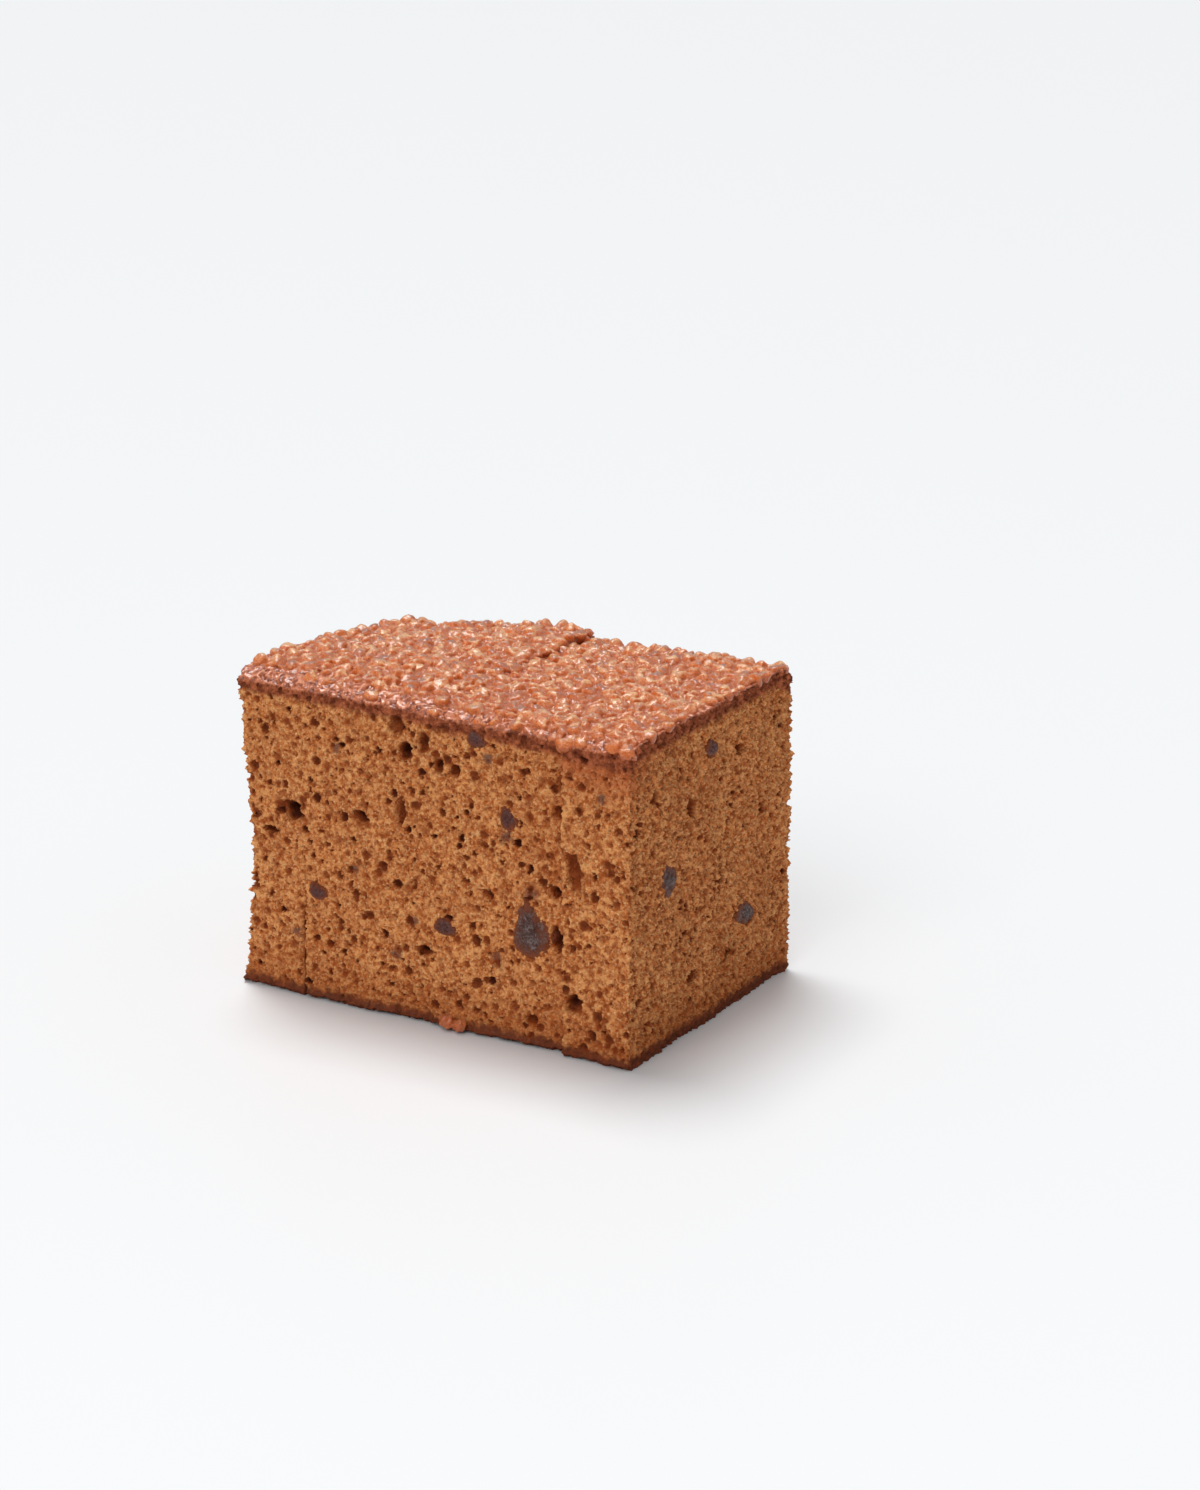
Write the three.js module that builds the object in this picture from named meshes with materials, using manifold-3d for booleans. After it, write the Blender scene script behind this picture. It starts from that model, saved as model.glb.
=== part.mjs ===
// A block of sliced gingerbread cake: six slices that still stand together as the loaf they were
// cut from. The crumb is full of small holes, raisins show where the knife met them, and lumps of
// sugar are baked into the top crust. Millimetres, +Z up, +X along the row of slices, the front of
// the block towards -Y. The origin is the middle of the base.
import * as THREE from "three";
import { mergeVertices } from "three/addons/utils/BufferGeometryUtils.js";
import Module from "manifold-3d";

const wasm = await Module();
wasm.setup();

// Driving dimensions.
const SLICE_PITCH = 15.8; // thickness of one slice with its share of the gap
const SLICE_GAP = 0.3; // between two slices that stand face to face
const CAKE_DEPTH = 66; // from the front crumb face to the back one

// The slices from the left end. front and back: how far each face stands in from the nominal one.
// foot: height where the crumb ends and the top crust begins. crown and rear: height of the crust
// behind its front lip and at the back. lip: how far the crust's front edge takes to round over.
const SLICES = [
  { front: 0.2, back: 1.6, foot: 66.6, crown: 69.6, rear: 65.2, lip: 7.5 },
  { front: 0.1, back: 0.9, foot: 66.6, crown: 69.6, rear: 67.2, lip: 7.5 },
  { front: 0.3, back: 0.0, foot: 66.2, crown: 69.0, rear: 68.8, lip: 5.5 },
  { front: 0.4, back: 0.9, foot: 65.4, crown: 68.2, rear: 67.0, lip: 3.0 },
  { front: 0.8, back: 0.5, foot: 64.9, crown: 67.8, rear: 67.8, lip: 2.5 },
  { front: -0.2, back: 0.2, foot: 64.2, crown: 67.6, rear: 67.8, lip: 2.5 },
];
const CROWN_AT = 14; // depth at which the crust is highest
const CROWN_DIP = 0.8; // how much lower its front lip is
const REAR_LIP = 4; // reach of the rounded edge at the back
const CRUST_DROP = 3; // height of the crust at that back edge

// The base crust: thin, and it stands out a little beyond the crumb.
const BASE_CRUST = 1.8;
const BASE_FLARE = 0.5;
const BASE_ROUND = 0.9;

// The end faces.
const LEFT_BOW = 2.2; // hollow of the left end, deepest at half height
const LEFT_FOOT = 1.4; // how far the left end's base runs out
const LEFT_FOOT_RISE = 7.2; // height over which it does
const FIRST_CUT_WEDGE = 0.7; // the first cut stands open this much at its foot
const FIRST_CUT_RISE = 33; // and closes at this height
const CRUMB_WAVE = 0.45; // unevenness of the crumb faces
const WAVE_TURN = { across: 0.33, slant: 0.17, up: 0.19 }; // its pace, in radians a millimetre
const CALM_REACH = 6; // it dies out over this height below the crust

// Sugar lumps on the top crust: one lump covers two steps each way.
const LUMP = 3.5;
const LUMP_RISE = { least: 0.5, most: 1.5 };
const LUMP_SADDLE = 0.45; // height between two neighbours, as a share of a lump's
const LUMP_VALLEY = -0.35;
const LUMP_SHIFT = 0.4;

// How finely a slice is made.
const STATIONS = 10; // steps across its thickness
const FACE_ROWS = 5; // rows up the crumb
const LIP_STEPS = 3;
const END_COLUMNS = 8; // columns across an end face that shows
const CUT_COLUMNS = 5; // columns along the crust's foot on a hidden cut
const END_SHIFT = 0.6; // unevenness of the rows on an end face that shows

// Holes wide enough to see from a step away. along: distance from the left end of the block, or
// from the front on its two ends. tilt: degrees from upright. depth: how far the hole goes in.
const HOLES = [
  { face: "front", along: 13.3, height: 40.9, width: 5.4, tall: 4.6, depth: 3.4, tilt: 12 },
  { face: "front", along: 7.4, height: 35.5, width: 4.4, tall: 2.0, depth: 2.4, tilt: -8 },
  { face: "front", along: 30.0, height: 42.2, width: 4.4, tall: 2.8, depth: 2.6, tilt: 10 },
  { face: "front", along: 39.9, height: 44.8, width: 2.8, tall: 7.2, depth: 1.8, tilt: 8 },
  { face: "front", along: 39.4, height: 63.2, width: 4.0, tall: 4.4, depth: 1.8, tilt: 0 },
  { face: "front", along: 41.4, height: 58.1, width: 3.6, tall: 4.2, depth: 3.2, tilt: 10 },
  { face: "front", along: 45.8, height: 60.6, width: 3.0, tall: 5.0, depth: 2.2, tilt: 8 },
  { face: "front", along: 49.3, height: 56.2, width: 2.8, tall: 3.4, depth: 2.4, tilt: 0 },
  { face: "front", along: 53.2, height: 55.7, width: 2.8, tall: 2.9, depth: 2.4, tilt: 0 },
  { face: "front", along: 45.3, height: 16.0, width: 4.0, tall: 2.4, depth: 2.6, tilt: -6 },
  { face: "front", along: 77.2, height: 50.8, width: 2.8, tall: 3.2, depth: 2.4, tilt: 0 },
  { face: "front", along: 76.9, height: 24.1, width: 2.6, tall: 6.0, depth: 3.0, tilt: -12 },
  { face: "front", along: 76.2, height: 34.0, width: 2.8, tall: 3.0, depth: 2.6, tilt: 0 },
  { face: "front", along: 81.6, height: 39.4, width: 3.4, tall: 10.0, depth: 1.4, tilt: -8 },
  { face: "front", along: 81.6, height: 11.8, width: 4.0, tall: 4.6, depth: 2.2, tilt: 20 },
  { face: "front", along: 71.0, height: 5.8, width: 3.0, tall: 2.6, depth: 2.2, tilt: 0 },
  { face: "right", along: 9.0, height: 55.0, width: 2.8, tall: 3.4, depth: 2.4, tilt: 0 },
  { face: "right", along: 24.0, height: 48.5, width: 3.6, tall: 5.6, depth: 2.2, tilt: -20 },
  { face: "right", along: 44.0, height: 55.5, width: 3.2, tall: 2.6, depth: 2.6, tilt: 0 },
  { face: "right", along: 36.0, height: 30.0, width: 3.4, tall: 2.8, depth: 2.4, tilt: 15 },
  { face: "right", along: 54.0, height: 40.0, width: 2.8, tall: 3.6, depth: 2.2, tilt: 0 },
  { face: "right", along: 25.0, height: 12.0, width: 4.4, tall: 2.6, depth: 2.4, tilt: -10 },
  { face: "left", along: 13.0, height: 52.0, width: 3.4, tall: 4.4, depth: 2.4, tilt: 10 },
  { face: "left", along: 38.0, height: 33.0, width: 4.6, tall: 3.2, depth: 2.6, tilt: 0 },
  { face: "left", along: 26.0, height: 14.0, width: 3.8, tall: 2.6, depth: 2.4, tilt: -10 },
  { face: "back", along: 9.0, height: 54.0, width: 3.4, tall: 4.6, depth: 2.4, tilt: 0 },
  { face: "back", along: 27.0, height: 20.0, width: 4.6, tall: 2.6, depth: 2.6, tilt: 8 },
  { face: "back", along: 40.0, height: 50.0, width: 3.2, tall: 3.4, depth: 2.6, tilt: 0 },
  { face: "back", along: 52.0, height: 36.0, width: 4.0, tall: 5.0, depth: 2.4, tilt: -15 },
  { face: "back", along: 85.0, height: 22.0, width: 3.6, tall: 3.0, depth: 2.6, tilt: 0 },
];

// Raisins that show at a face. thick: how far one reaches in. proud: how far it stands out.
const RAISINS = [
  { face: "front", along: 71.0, height: 25.1, width: 8.8, tall: 13.0, thick: 6.5, proud: 0.7, tilt: 4 },
  { face: "front", along: 65.6, height: 47.8, width: 3.8, tall: 5.2, thick: 3.6, proud: 0.5, tilt: 0 },
  { face: "front", along: 19.2, height: 24.1, width: 5.0, tall: 3.6, thick: 3.4, proud: 0.5, tilt: 0 },
  { face: "front", along: 58.6, height: 63.4, width: 4.4, tall: 3.6, thick: 3.4, proud: 0.4, tilt: 0 },
  { face: "front", along: 50.6, height: 22.2, width: 5.2, tall: 4.0, thick: 3.6, proud: 0.5, tilt: 0 },
  { face: "right", along: 32.0, height: 59.0, width: 5.0, tall: 3.6, thick: 3.6, proud: 0.5, tilt: 10 },
  { face: "right", along: 15.0, height: 36.0, width: 7.0, tall: 8.4, thick: 5.0, proud: 0.5, tilt: -15 },
  { face: "right", along: 47.0, height: 19.0, width: 8.2, tall: 5.4, thick: 5.0, proud: 0.4, tilt: 10 },
  { face: "left", along: 24.0, height: 44.0, width: 7.4, tall: 5.4, thick: 4.6, proud: 0.4, tilt: 12 },
  { face: "left", along: 49.0, height: 19.0, width: 5.4, tall: 6.6, thick: 4.2, proud: 0.3, tilt: 0 },
  { face: "back", along: 23.0, height: 42.0, width: 6.2, tall: 7.4, thick: 4.6, proud: 0.4, tilt: 8 },
  { face: "back", along: 55.5, height: 20.0, width: 8.4, tall: 5.8, thick: 5.0, proud: 0.5, tilt: -10 },
  { face: "back", along: 81.0, height: 47.0, width: 5.2, tall: 4.4, thick: 3.8, proud: 0.5, tilt: 0 },
];
const RAISIN_CLEARANCE = 0.3;
const BIG_RAISIN = 10; // a raisin taller than this gets finer facets
const RAISIN_WRINKLE = 0.06;

// A run of melted sugar that set on the front of the base, beside the fourth slice.
const SUGAR_DRIP = [
  { x: 51.6, y: -0.6, z: 1.7, size: 1.7 },
  { x: 54.2, y: -0.9, z: 1.3, size: 1.3 },
];

// Repeatable random numbers from 0 to 1.
function seededRandom(seed) {
  let state = seed;
  return () => {
    state = (state * 1664525 + 1013904223) % 4294967296;
    return state / 4294967296;
  };
}

function mix(a, b, share) {
  return a + (b - a) * share;
}

// Slow unevenness of a crumb face, from -1 to 1.
function wave(a, b, seed) {
  const first = Math.sin(a * WAVE_TURN.across + seed);
  const second = Math.sin(a * WAVE_TURN.slant + b * WAVE_TURN.up + 2 * seed);
  return (first + second) / 2;
}

function toSolid(geometry) {
  const bare = geometry.clone();
  bare.deleteAttribute("normal");
  bare.deleteAttribute("uv");
  const merged = mergeVertices(bare, 1e-4);
  return new wasm.Manifold(
    new wasm.Mesh({
      numProp: 3,
      vertProperties: new Float32Array(merged.attributes.position.array),
      triVerts: new Uint32Array(merged.index.array),
    }),
  );
}

function toGeometry(solid) {
  const { vertProperties, triVerts } = solid.getMesh();
  const geometry = new THREE.BufferGeometry();
  geometry.setAttribute("position", new THREE.BufferAttribute(vertProperties, 3));
  geometry.setIndex(new THREE.BufferAttribute(triVerts, 1));
  geometry.computeVertexNormals();
  return geometry;
}

// Where the front and back crumb faces of a slice stand. They run flush into the crust.
function frontFace(index, x, z) {
  const calm = THREE.MathUtils.clamp((SLICES[index].foot - z) / CALM_REACH, 0, 1);
  return SLICES[index].front + calm * CRUMB_WAVE * wave(x, z, 0.3);
}

function backFace(index, x, z) {
  const calm = THREE.MathUtils.clamp((SLICES[index].foot - z) / CALM_REACH, 0, 1);
  return CAKE_DEPTH - SLICES[index].back - calm * CRUMB_WAVE * wave(x, z, 5.2);
}

// Where the left and right faces of a slice stand at a depth and height.
function leftFace(index, y, z) {
  if (index > 0) return index * SLICE_PITCH + SLICE_GAP / 2;
  const hollow = LEFT_BOW * Math.sin(Math.PI * Math.min(1, z / SLICES[0].foot));
  const run = LEFT_FOOT * Math.max(0, 1 - z / LEFT_FOOT_RISE) ** 2;
  return hollow - run + CRUMB_WAVE * wave(y, z, 1.4);
}

function rightFace(index, y, z) {
  const plane = (index + 1) * SLICE_PITCH - SLICE_GAP / 2;
  if (index === SLICES.length - 1) return plane + CRUMB_WAVE * wave(y, z, 4.1);
  if (index > 0) return plane;
  return plane - FIRST_CUT_WEDGE * Math.max(0, 1 - z / FIRST_CUT_RISE);
}

// Height of the crust over the depth, without its lumps.
function crustHeight(slice, y) {
  if (y <= CROWN_AT) return slice.crown - CROWN_DIP * (1 - y / CROWN_AT) ** 2;
  const share = (y - CROWN_AT) / (CAKE_DEPTH - CROWN_AT);
  return mix(slice.crown, slice.rear, share * share * (3 - 2 * share));
}

// The outline of a slice at one station across its thickness, from the front of the base, up, over
// the crust and down to the back of the base.
function outline(slice, index, station, random) {
  const across = station / STATIONS;
  const x = (index + across) * SLICE_PITCH;
  const points = [];
  const rows = [];
  for (let row = 0; row <= FACE_ROWS; row++) rows.push(mix(BASE_CRUST, slice.foot, row / FACE_ROWS));

  points.push([slice.front + BASE_ROUND, 0]);
  points.push([slice.front - BASE_FLARE, BASE_CRUST / 2]);
  for (const z of rows) points.push([frontFace(index, x, z), z]);

  const lipEnd = slice.front + slice.lip;
  const lipTop = crustHeight(slice, lipEnd);
  for (let step = 1; step <= LIP_STEPS; step++) {
    const turn = (step / (LIP_STEPS + 1)) * (Math.PI / 2);
    points.push([
      slice.front + slice.lip * (1 - Math.cos(turn)),
      mix(slice.foot, lipTop, Math.sin(turn)),
    ]);
  }

  const rearStart = CAKE_DEPTH - slice.back - REAR_LIP;
  const columns = 2 * Math.round((rearStart - lipEnd) / LUMP);
  for (let column = 0; column <= columns; column++) {
    const inside = station > 0 && station < STATIONS && column > 0 && column < columns;
    const shift = inside ? LUMP_SHIFT * (2 * random() - 1) : 0;
    const y = mix(lipEnd, rearStart, column / columns) + shift;
    const peak = mix(LUMP_RISE.least, LUMP_RISE.most, random());
    const nearness = (station % 2) + (column % 2); // 0 between four lumps, 2 on top of one
    const rise = [LUMP_VALLEY, peak * LUMP_SADDLE, peak][nearness];
    points.push([y, crustHeight(slice, y) + rise]);
  }

  const rearTop = crustHeight(slice, rearStart);
  for (let step = LIP_STEPS; step >= 1; step--) {
    const turn = (step / (LIP_STEPS + 1)) * (Math.PI / 2);
    points.push([
      CAKE_DEPTH - slice.back - REAR_LIP * (1 - Math.cos(turn)),
      mix(rearTop - CRUST_DROP, rearTop, Math.sin(turn)),
    ]);
  }
  const rearFoot = rearTop - CRUST_DROP;
  for (const z of rows.reverse()) {
    const level = (z * rearFoot) / slice.foot;
    points.push([backFace(index, x, level), level]);
  }
  points.push([CAKE_DEPTH - slice.back + BASE_FLARE, BASE_CRUST / 2]);
  points.push([CAKE_DEPTH - slice.back - BASE_ROUND, 0]);
  return points.map(
    ([y, z]) => new THREE.Vector3(mix(leftFace(index, y, z), rightFace(index, y, z), across), y, z),
  );
}

// Triangles between two chains of vertices that both run from front to back.
function zip(lower, upper, points, facing, faces) {
  let low = 0;
  let high = 0;
  while (low < lower.length - 1 || high < upper.length - 1) {
    const lowerNext = low < lower.length - 1 ? points[lower[low + 1]].y : Infinity;
    const upperNext = high < upper.length - 1 ? points[upper[high + 1]].y : Infinity;
    const third = lowerNext <= upperNext ? lower[low + 1] : upper[high + 1];
    const face = [lower[low], third, upper[high]];
    faces.push(facing > 0 ? face : face.reverse());
    if (lowerNext <= upperNext) low++;
    else high++;
  }
}

// Closes one end of a slice. shows: an end face of the block, which gets an uneven surface.
function closeEnd(ring, index, facing, shows, points, faces, random) {
  const rowCount = FACE_ROWS + 3; // the base, its flare and the rows up to the crust's foot
  const chains = [];
  for (let row = 0; row < rowCount; row++) {
    const front = ring[row];
    const back = ring[ring.length - 1 - row];
    const atFoot = row === rowCount - 1;
    const columns = shows && row > 0 ? END_COLUMNS : atFoot ? CUT_COLUMNS : 1;
    const chain = [front];
    for (let column = 1; column < columns; column++) {
      const share = column / columns;
      const y = mix(points[front].y, points[back].y, share);
      const lift = shows && row > 1 && !atFoot ? END_SHIFT * (2 * random() - 1) : 0;
      const z = mix(points[front].z, points[back].z, share) + lift;
      const x = facing > 0 ? rightFace(index, y, z) : leftFace(index, y, z);
      chain.push(points.push(new THREE.Vector3(x, y, z)) - 1);
    }
    chain.push(back);
    chains.push(chain);
  }
  for (let row = 1; row < rowCount; row++) zip(chains[row - 1], chains[row], points, facing, faces);
  zip(chains[rowCount - 1], ring.slice(rowCount, ring.length - rowCount), points, facing, faces);
}

// One slice before its holes are cut: rings of points across its thickness, joined and closed.
function sliceSolid(index) {
  const slice = SLICES[index];
  const random = seededRandom(101 + index);
  const points = [];
  const faces = [];
  const rings = [];
  for (let station = 0; station <= STATIONS; station++) {
    const ring = outline(slice, index, station, random).map((point) => points.push(point) - 1);
    rings.push(ring);
  }
  for (let station = 0; station < STATIONS; station++) {
    const [near, far] = [rings[station], rings[station + 1]];
    near.forEach((a, j) => {
      const k = (j + 1) % near.length;
      faces.push([a, far[j], far[k]], [a, far[k], near[k]]);
    });
  }
  closeEnd(rings[0], index, -1, index === 0, points, faces, random);
  const last = index === SLICES.length - 1;
  closeEnd(rings[STATIONS], index, 1, last, points, faces, random);

  const geometry = new THREE.BufferGeometry().setFromPoints(points);
  geometry.setIndex(faces.flat());
  return toSolid(geometry);
}

// The point where a feature sits on its face, and the turn that points its depth inwards.
function seat({ face, along, height }) {
  const last = SLICES.length - 1;
  const index = Math.min(last, Math.floor(along / SLICE_PITCH));
  const seats = {
    front: { x: along, y: frontFace(index, along, height), turn: 0 },
    right: { x: rightFace(last, along, height), y: along, turn: Math.PI / 2 },
    back: { x: along, y: backFace(index, along, height), turn: Math.PI },
    left: { x: leftFace(0, along, height), y: along, turn: -Math.PI / 2 },
  };
  return seats[face];
}

// Lays a rounded geometry of unit radius on its face: sized, tilted, pushed in and turned.
function layOnFace(geometry, feature, halfDepth, pushIn, grow = 0) {
  const { x, y, turn } = seat(feature);
  return geometry
    .scale(feature.width / 2 + grow, halfDepth + grow, feature.tall / 2 + grow)
    .rotateY(THREE.MathUtils.degToRad(feature.tilt))
    .translate(0, pushIn, 0)
    .rotateZ(turn)
    .translate(x, y, feature.height);
}

function holeSolid(hole) {
  return toSolid(layOnFace(new THREE.IcosahedronGeometry(1, 1), hole, hole.depth, 0));
}

// A raisin is a dented drop, narrower at its top.
function raisinGeometry(raisin, grow) {
  const geometry = new THREE.IcosahedronGeometry(1, raisin.tall > BIG_RAISIN ? 2 : 1);
  const place = geometry.attributes.position;
  for (let i = 0; i < place.count; i++) {
    const [x, y, z] = [place.getX(i), place.getY(i), place.getZ(i)];
    const wrinkle = 1 + RAISIN_WRINKLE * Math.sin(7 * x + 4 * z + raisin.along) * Math.cos(5 * z - 3 * y);
    const taper = 1 - 0.28 * z;
    place.setXYZ(i, x * wrinkle * taper, y * wrinkle, z * wrinkle);
  }
  return layOnFace(geometry, raisin, raisin.thick / 2, raisin.thick / 2 - raisin.proud, grow);
}

function dripSolid({ x, y, z, size }) {
  return toSolid(new THREE.IcosahedronGeometry(size, 1).translate(x, y, z));
}

function makeMaterial(color, roughness) {
  return new THREE.MeshStandardMaterial({ color, roughness, metalness: 0, flatShading: true });
}

const crumb = makeMaterial(0xa0643a, 0.85);
const raisinSkin = makeMaterial(0x3f2a26, 0.5);

const cake = new THREE.Group();
cake.name = "gingerbread_cake";

const hollows = [
  ...HOLES.map(holeSolid),
  ...RAISINS.map((raisin) => toSolid(raisinGeometry(raisin, RAISIN_CLEARANCE))),
];
SLICES.forEach((slice, index) => {
  let solid = sliceSolid(index);
  if (index === Math.floor(SUGAR_DRIP[0].x / SLICE_PITCH)) {
    for (const drop of SUGAR_DRIP) solid = solid.add(dripSolid(drop));
  }
  for (const hollow of hollows) solid = solid.subtract(hollow);
  const mesh = new THREE.Mesh(toGeometry(solid), crumb);
  mesh.name = `slice_${index + 1}`;
  cake.add(mesh);
});
RAISINS.forEach((raisin, index) => {
  const mesh = new THREE.Mesh(raisinGeometry(raisin, 0), raisinSkin);
  mesh.name = `raisin_${index + 1}`;
  cake.add(mesh);
});

// Puts the origin at the middle of the base.
const extent = new THREE.Box3().setFromObject(cake);
const middle = extent.getCenter(new THREE.Vector3());
cake.position.set(-middle.x, -middle.y, -extent.min.z);

const part = new THREE.Group();
part.add(cake);

export default part;
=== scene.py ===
"""A sliced gingerbread cake: six slices that stand together, their crumb, raisins and sugar crust.

Lengths in the classes are in millimetres, as a baker would measure them, and are turned into
Blender's metres where a mesh is placed. X runs along the row of slices, the front faces -Y.
"""
import logging
import math
from contextlib import contextmanager
from dataclasses import dataclass, replace
from enum import Enum
from typing import ClassVar, Iterator, Optional, Union

import bpy
import numpy as np
from mathutils import Matrix, Vector


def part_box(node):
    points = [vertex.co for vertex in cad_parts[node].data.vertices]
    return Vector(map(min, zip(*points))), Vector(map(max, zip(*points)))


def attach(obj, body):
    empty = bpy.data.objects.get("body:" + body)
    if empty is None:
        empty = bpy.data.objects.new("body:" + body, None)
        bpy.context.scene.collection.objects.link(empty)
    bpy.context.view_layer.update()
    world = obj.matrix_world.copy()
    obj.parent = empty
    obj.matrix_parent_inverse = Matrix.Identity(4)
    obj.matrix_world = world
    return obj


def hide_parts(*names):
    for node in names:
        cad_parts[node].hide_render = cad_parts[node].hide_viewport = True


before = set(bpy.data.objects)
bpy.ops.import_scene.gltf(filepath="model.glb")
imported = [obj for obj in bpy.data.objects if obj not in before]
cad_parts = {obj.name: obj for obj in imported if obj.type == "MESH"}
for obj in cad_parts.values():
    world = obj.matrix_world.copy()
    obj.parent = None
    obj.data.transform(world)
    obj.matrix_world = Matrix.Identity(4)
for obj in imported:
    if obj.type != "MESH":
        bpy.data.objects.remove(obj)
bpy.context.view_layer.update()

LOG = logging.getLogger("gingerbread")

MM = 0.001
BODY = "root"
PHOTO_SIZE = (1200, 1490)
DETAIL = 1.0

Colour = tuple[float, float, float]
Socket = bpy.types.NodeSocket
Value = Union[Socket, float, int, str, Colour, Vector, bpy.types.ID, None]
Inputs = dict[Union[str, int], Value]


class Face(Enum):
    """A side of the cake, named as the camera sees it, with the way that it looks."""

    FRONT = (0.0, -1.0, 0.0)
    BACK = (0.0, 1.0, 0.0)
    LEFT = (-1.0, 0.0, 0.0)
    RIGHT = (1.0, 0.0, 0.0)


# ---------------------------------------------------------------------------------------------
# Small tools for meshes and node trees.


def srgb(red: int, green: int, blue: int) -> Colour:
    """Turns a colour as read off a picture, from 0 to 255, into linear light.

    Args:
        red: Red from 0 to 255.
        green: Green from 0 to 255.
        blue: Blue from 0 to 255.

    Returns:
        The linear colour.
    """
    shares = [channel / 255 for channel in (red, green, blue)]
    return tuple(s / 12.92 if s <= 0.04045 else ((s + 0.055) / 1.055) ** 2.4 for s in shares)


def smooth_step(value: np.ndarray) -> np.ndarray:
    """Eases values from 0 to 1, flat at both ends."""
    share = np.clip(value, 0.0, 1.0)
    return share * share * (3.0 - 2.0 * share)


def make_active(*pieces: bpy.types.Object) -> None:
    """Selects these pieces and nothing else, the first of them active."""
    bpy.ops.object.select_all(action="DESELECT")
    for piece in pieces:
        piece.select_set(True)
    bpy.context.view_layer.objects.active = pieces[0]


@contextmanager
def editing(piece: bpy.types.Object, mode: tuple[bool, bool, bool]) -> Iterator[None]:
    """Opens one piece in edit mode with its selection as it is, and closes it again.

    Args:
        piece: The piece to edit.
        mode: Whether vertices, edges and faces can be selected.

    Yields:
        Nothing, while the piece is open.
    """
    make_active(piece)
    bpy.context.tool_settings.mesh_select_mode = mode
    bpy.ops.object.mode_set(mode="EDIT")
    yield
    bpy.ops.object.mode_set(mode="OBJECT")


def joined(pieces: list[bpy.types.Object]) -> bpy.types.Object:
    """Joins pieces into the first of them."""
    make_active(*pieces)
    bpy.ops.object.join()
    return bpy.context.object


def read(items: bpy.types.bpy_prop_collection, name: str, width: int = 1,
         kind: type = np.float32) -> np.ndarray:
    """Reads a property of all vertices, edges or faces of a mesh.

    Args:
        items: The vertices, edges or faces.
        name: The property.
        width: How many numbers each of them has.
        kind: What the numbers are.

    Returns:
        One row for each, or one number for each where the width is 1.
    """
    flat = np.empty(len(items) * width, kind)
    items.foreach_get(name, flat)
    return flat if width == 1 else flat.reshape(-1, width)


def points_of(mesh: bpy.types.Mesh) -> np.ndarray:
    """Reads a mesh's vertices, one row each, in metres."""
    return read(mesh.vertices, "co", 3)


def faces_of(mesh: bpy.types.Mesh) -> tuple[np.ndarray, np.ndarray]:
    """Reads the middles and the normals of a mesh's faces."""
    return read(mesh.polygons, "center", 3), read(mesh.polygons, "normal", 3)


def keep(mesh: bpy.types.Mesh, **values: np.ndarray) -> None:
    """Keeps numbers on the points of a mesh, each list under its own name."""
    for name, numbers in values.items():
        layer = mesh.attributes.new(name, "FLOAT", "POINT")
        layer.data.foreach_set("value", numbers.astype(np.float32))


def move_points(mesh: bpy.types.Mesh, points: np.ndarray) -> None:
    """Writes a mesh's vertices.

    Args:
        mesh: The mesh to change.
        points: One row for each vertex, in metres.
    """
    mesh.vertices.foreach_set("co", points.astype(np.float32).ravel())
    mesh.update()


EDGES = (False, True, False)
FACES = (False, False, True)
MOST_CUTS = 90  # that one call of the subdivide tool makes
STRAIGHT = 0.9  # least share of a direction that counts as being along an axis


def select_only(mesh: bpy.types.Mesh, kind: str, flags: np.ndarray) -> None:
    """Selects edges or faces and nothing else, in object mode.

    Args:
        mesh: The mesh.
        kind: "edges" or "polygons".
        flags: Which of them are meant.
    """
    for name in ("vertices", "edges", "polygons"):
        items = getattr(mesh, name)
        items.foreach_set("select", flags if name == kind else np.zeros(len(items), bool))


def merge_faces(piece: bpy.types.Object, flags: np.ndarray, flat: bool = False) -> None:
    """Makes one face of all that lie side by side in one plane.

    Args:
        piece: The piece.
        flags: Which faces are meant.
        flat: Whether the new face is shaded flat, so that it leaves its neighbours' shading alone.
    """
    select_only(piece.data, "polygons", flags)
    with editing(piece, FACES):
        bpy.ops.mesh.dissolve_faces()
        if flat:
            bpy.ops.mesh.faces_shade_flat()


def split_edges(piece: bpy.types.Object, axis: int, parts: int) -> None:
    """Cuts all edges that run along an axis into equal parts, as a row of loop cuts would.

    Args:
        piece: The piece.
        axis: 0, 1 or 2 for X, Y or Z.
        parts: How many parts each edge becomes.
    """
    mesh = piece.data
    coarse = math.ceil(parts / MOST_CUTS)
    for cuts in (coarse - 1, round(parts / coarse) - 1):
        if cuts > 0:
            ends = points_of(mesh)[read(mesh.edges, "vertices", 2, np.int32)]
            run = np.abs(ends[:, 1] - ends[:, 0])
            select_only(mesh, "edges", run[:, axis] > STRAIGHT * run.sum(1))
            with editing(piece, EDGES):
                bpy.ops.mesh.subdivide(number_cuts=cuts)


def apply_modifiers(piece: bpy.types.Object) -> None:
    """Applies a piece's modifiers in their order."""
    make_active(piece)
    for modifier in list(piece.modifiers):
        bpy.ops.object.modifier_apply(modifier=modifier.name)


def triangle_count(mesh: bpy.types.Mesh) -> int:
    """Counts the triangles that a mesh's faces make."""
    return int((read(mesh.polygons, "loop_total", kind=np.int32) - 2).sum())


def new_ball(fineness: int) -> tuple[bpy.types.Object, np.ndarray]:
    """Adds a ball of radius 1 round the origin, and reads its points.

    Args:
        fineness: How far its faces are divided.

    Returns:
        The ball and its points.
    """
    bpy.ops.object.select_all(action="DESELECT")
    bpy.ops.mesh.primitive_ico_sphere_add(subdivisions=fineness, radius=1.0)
    ball = bpy.context.object
    return ball, points_of(ball.data).astype(float)


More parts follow.
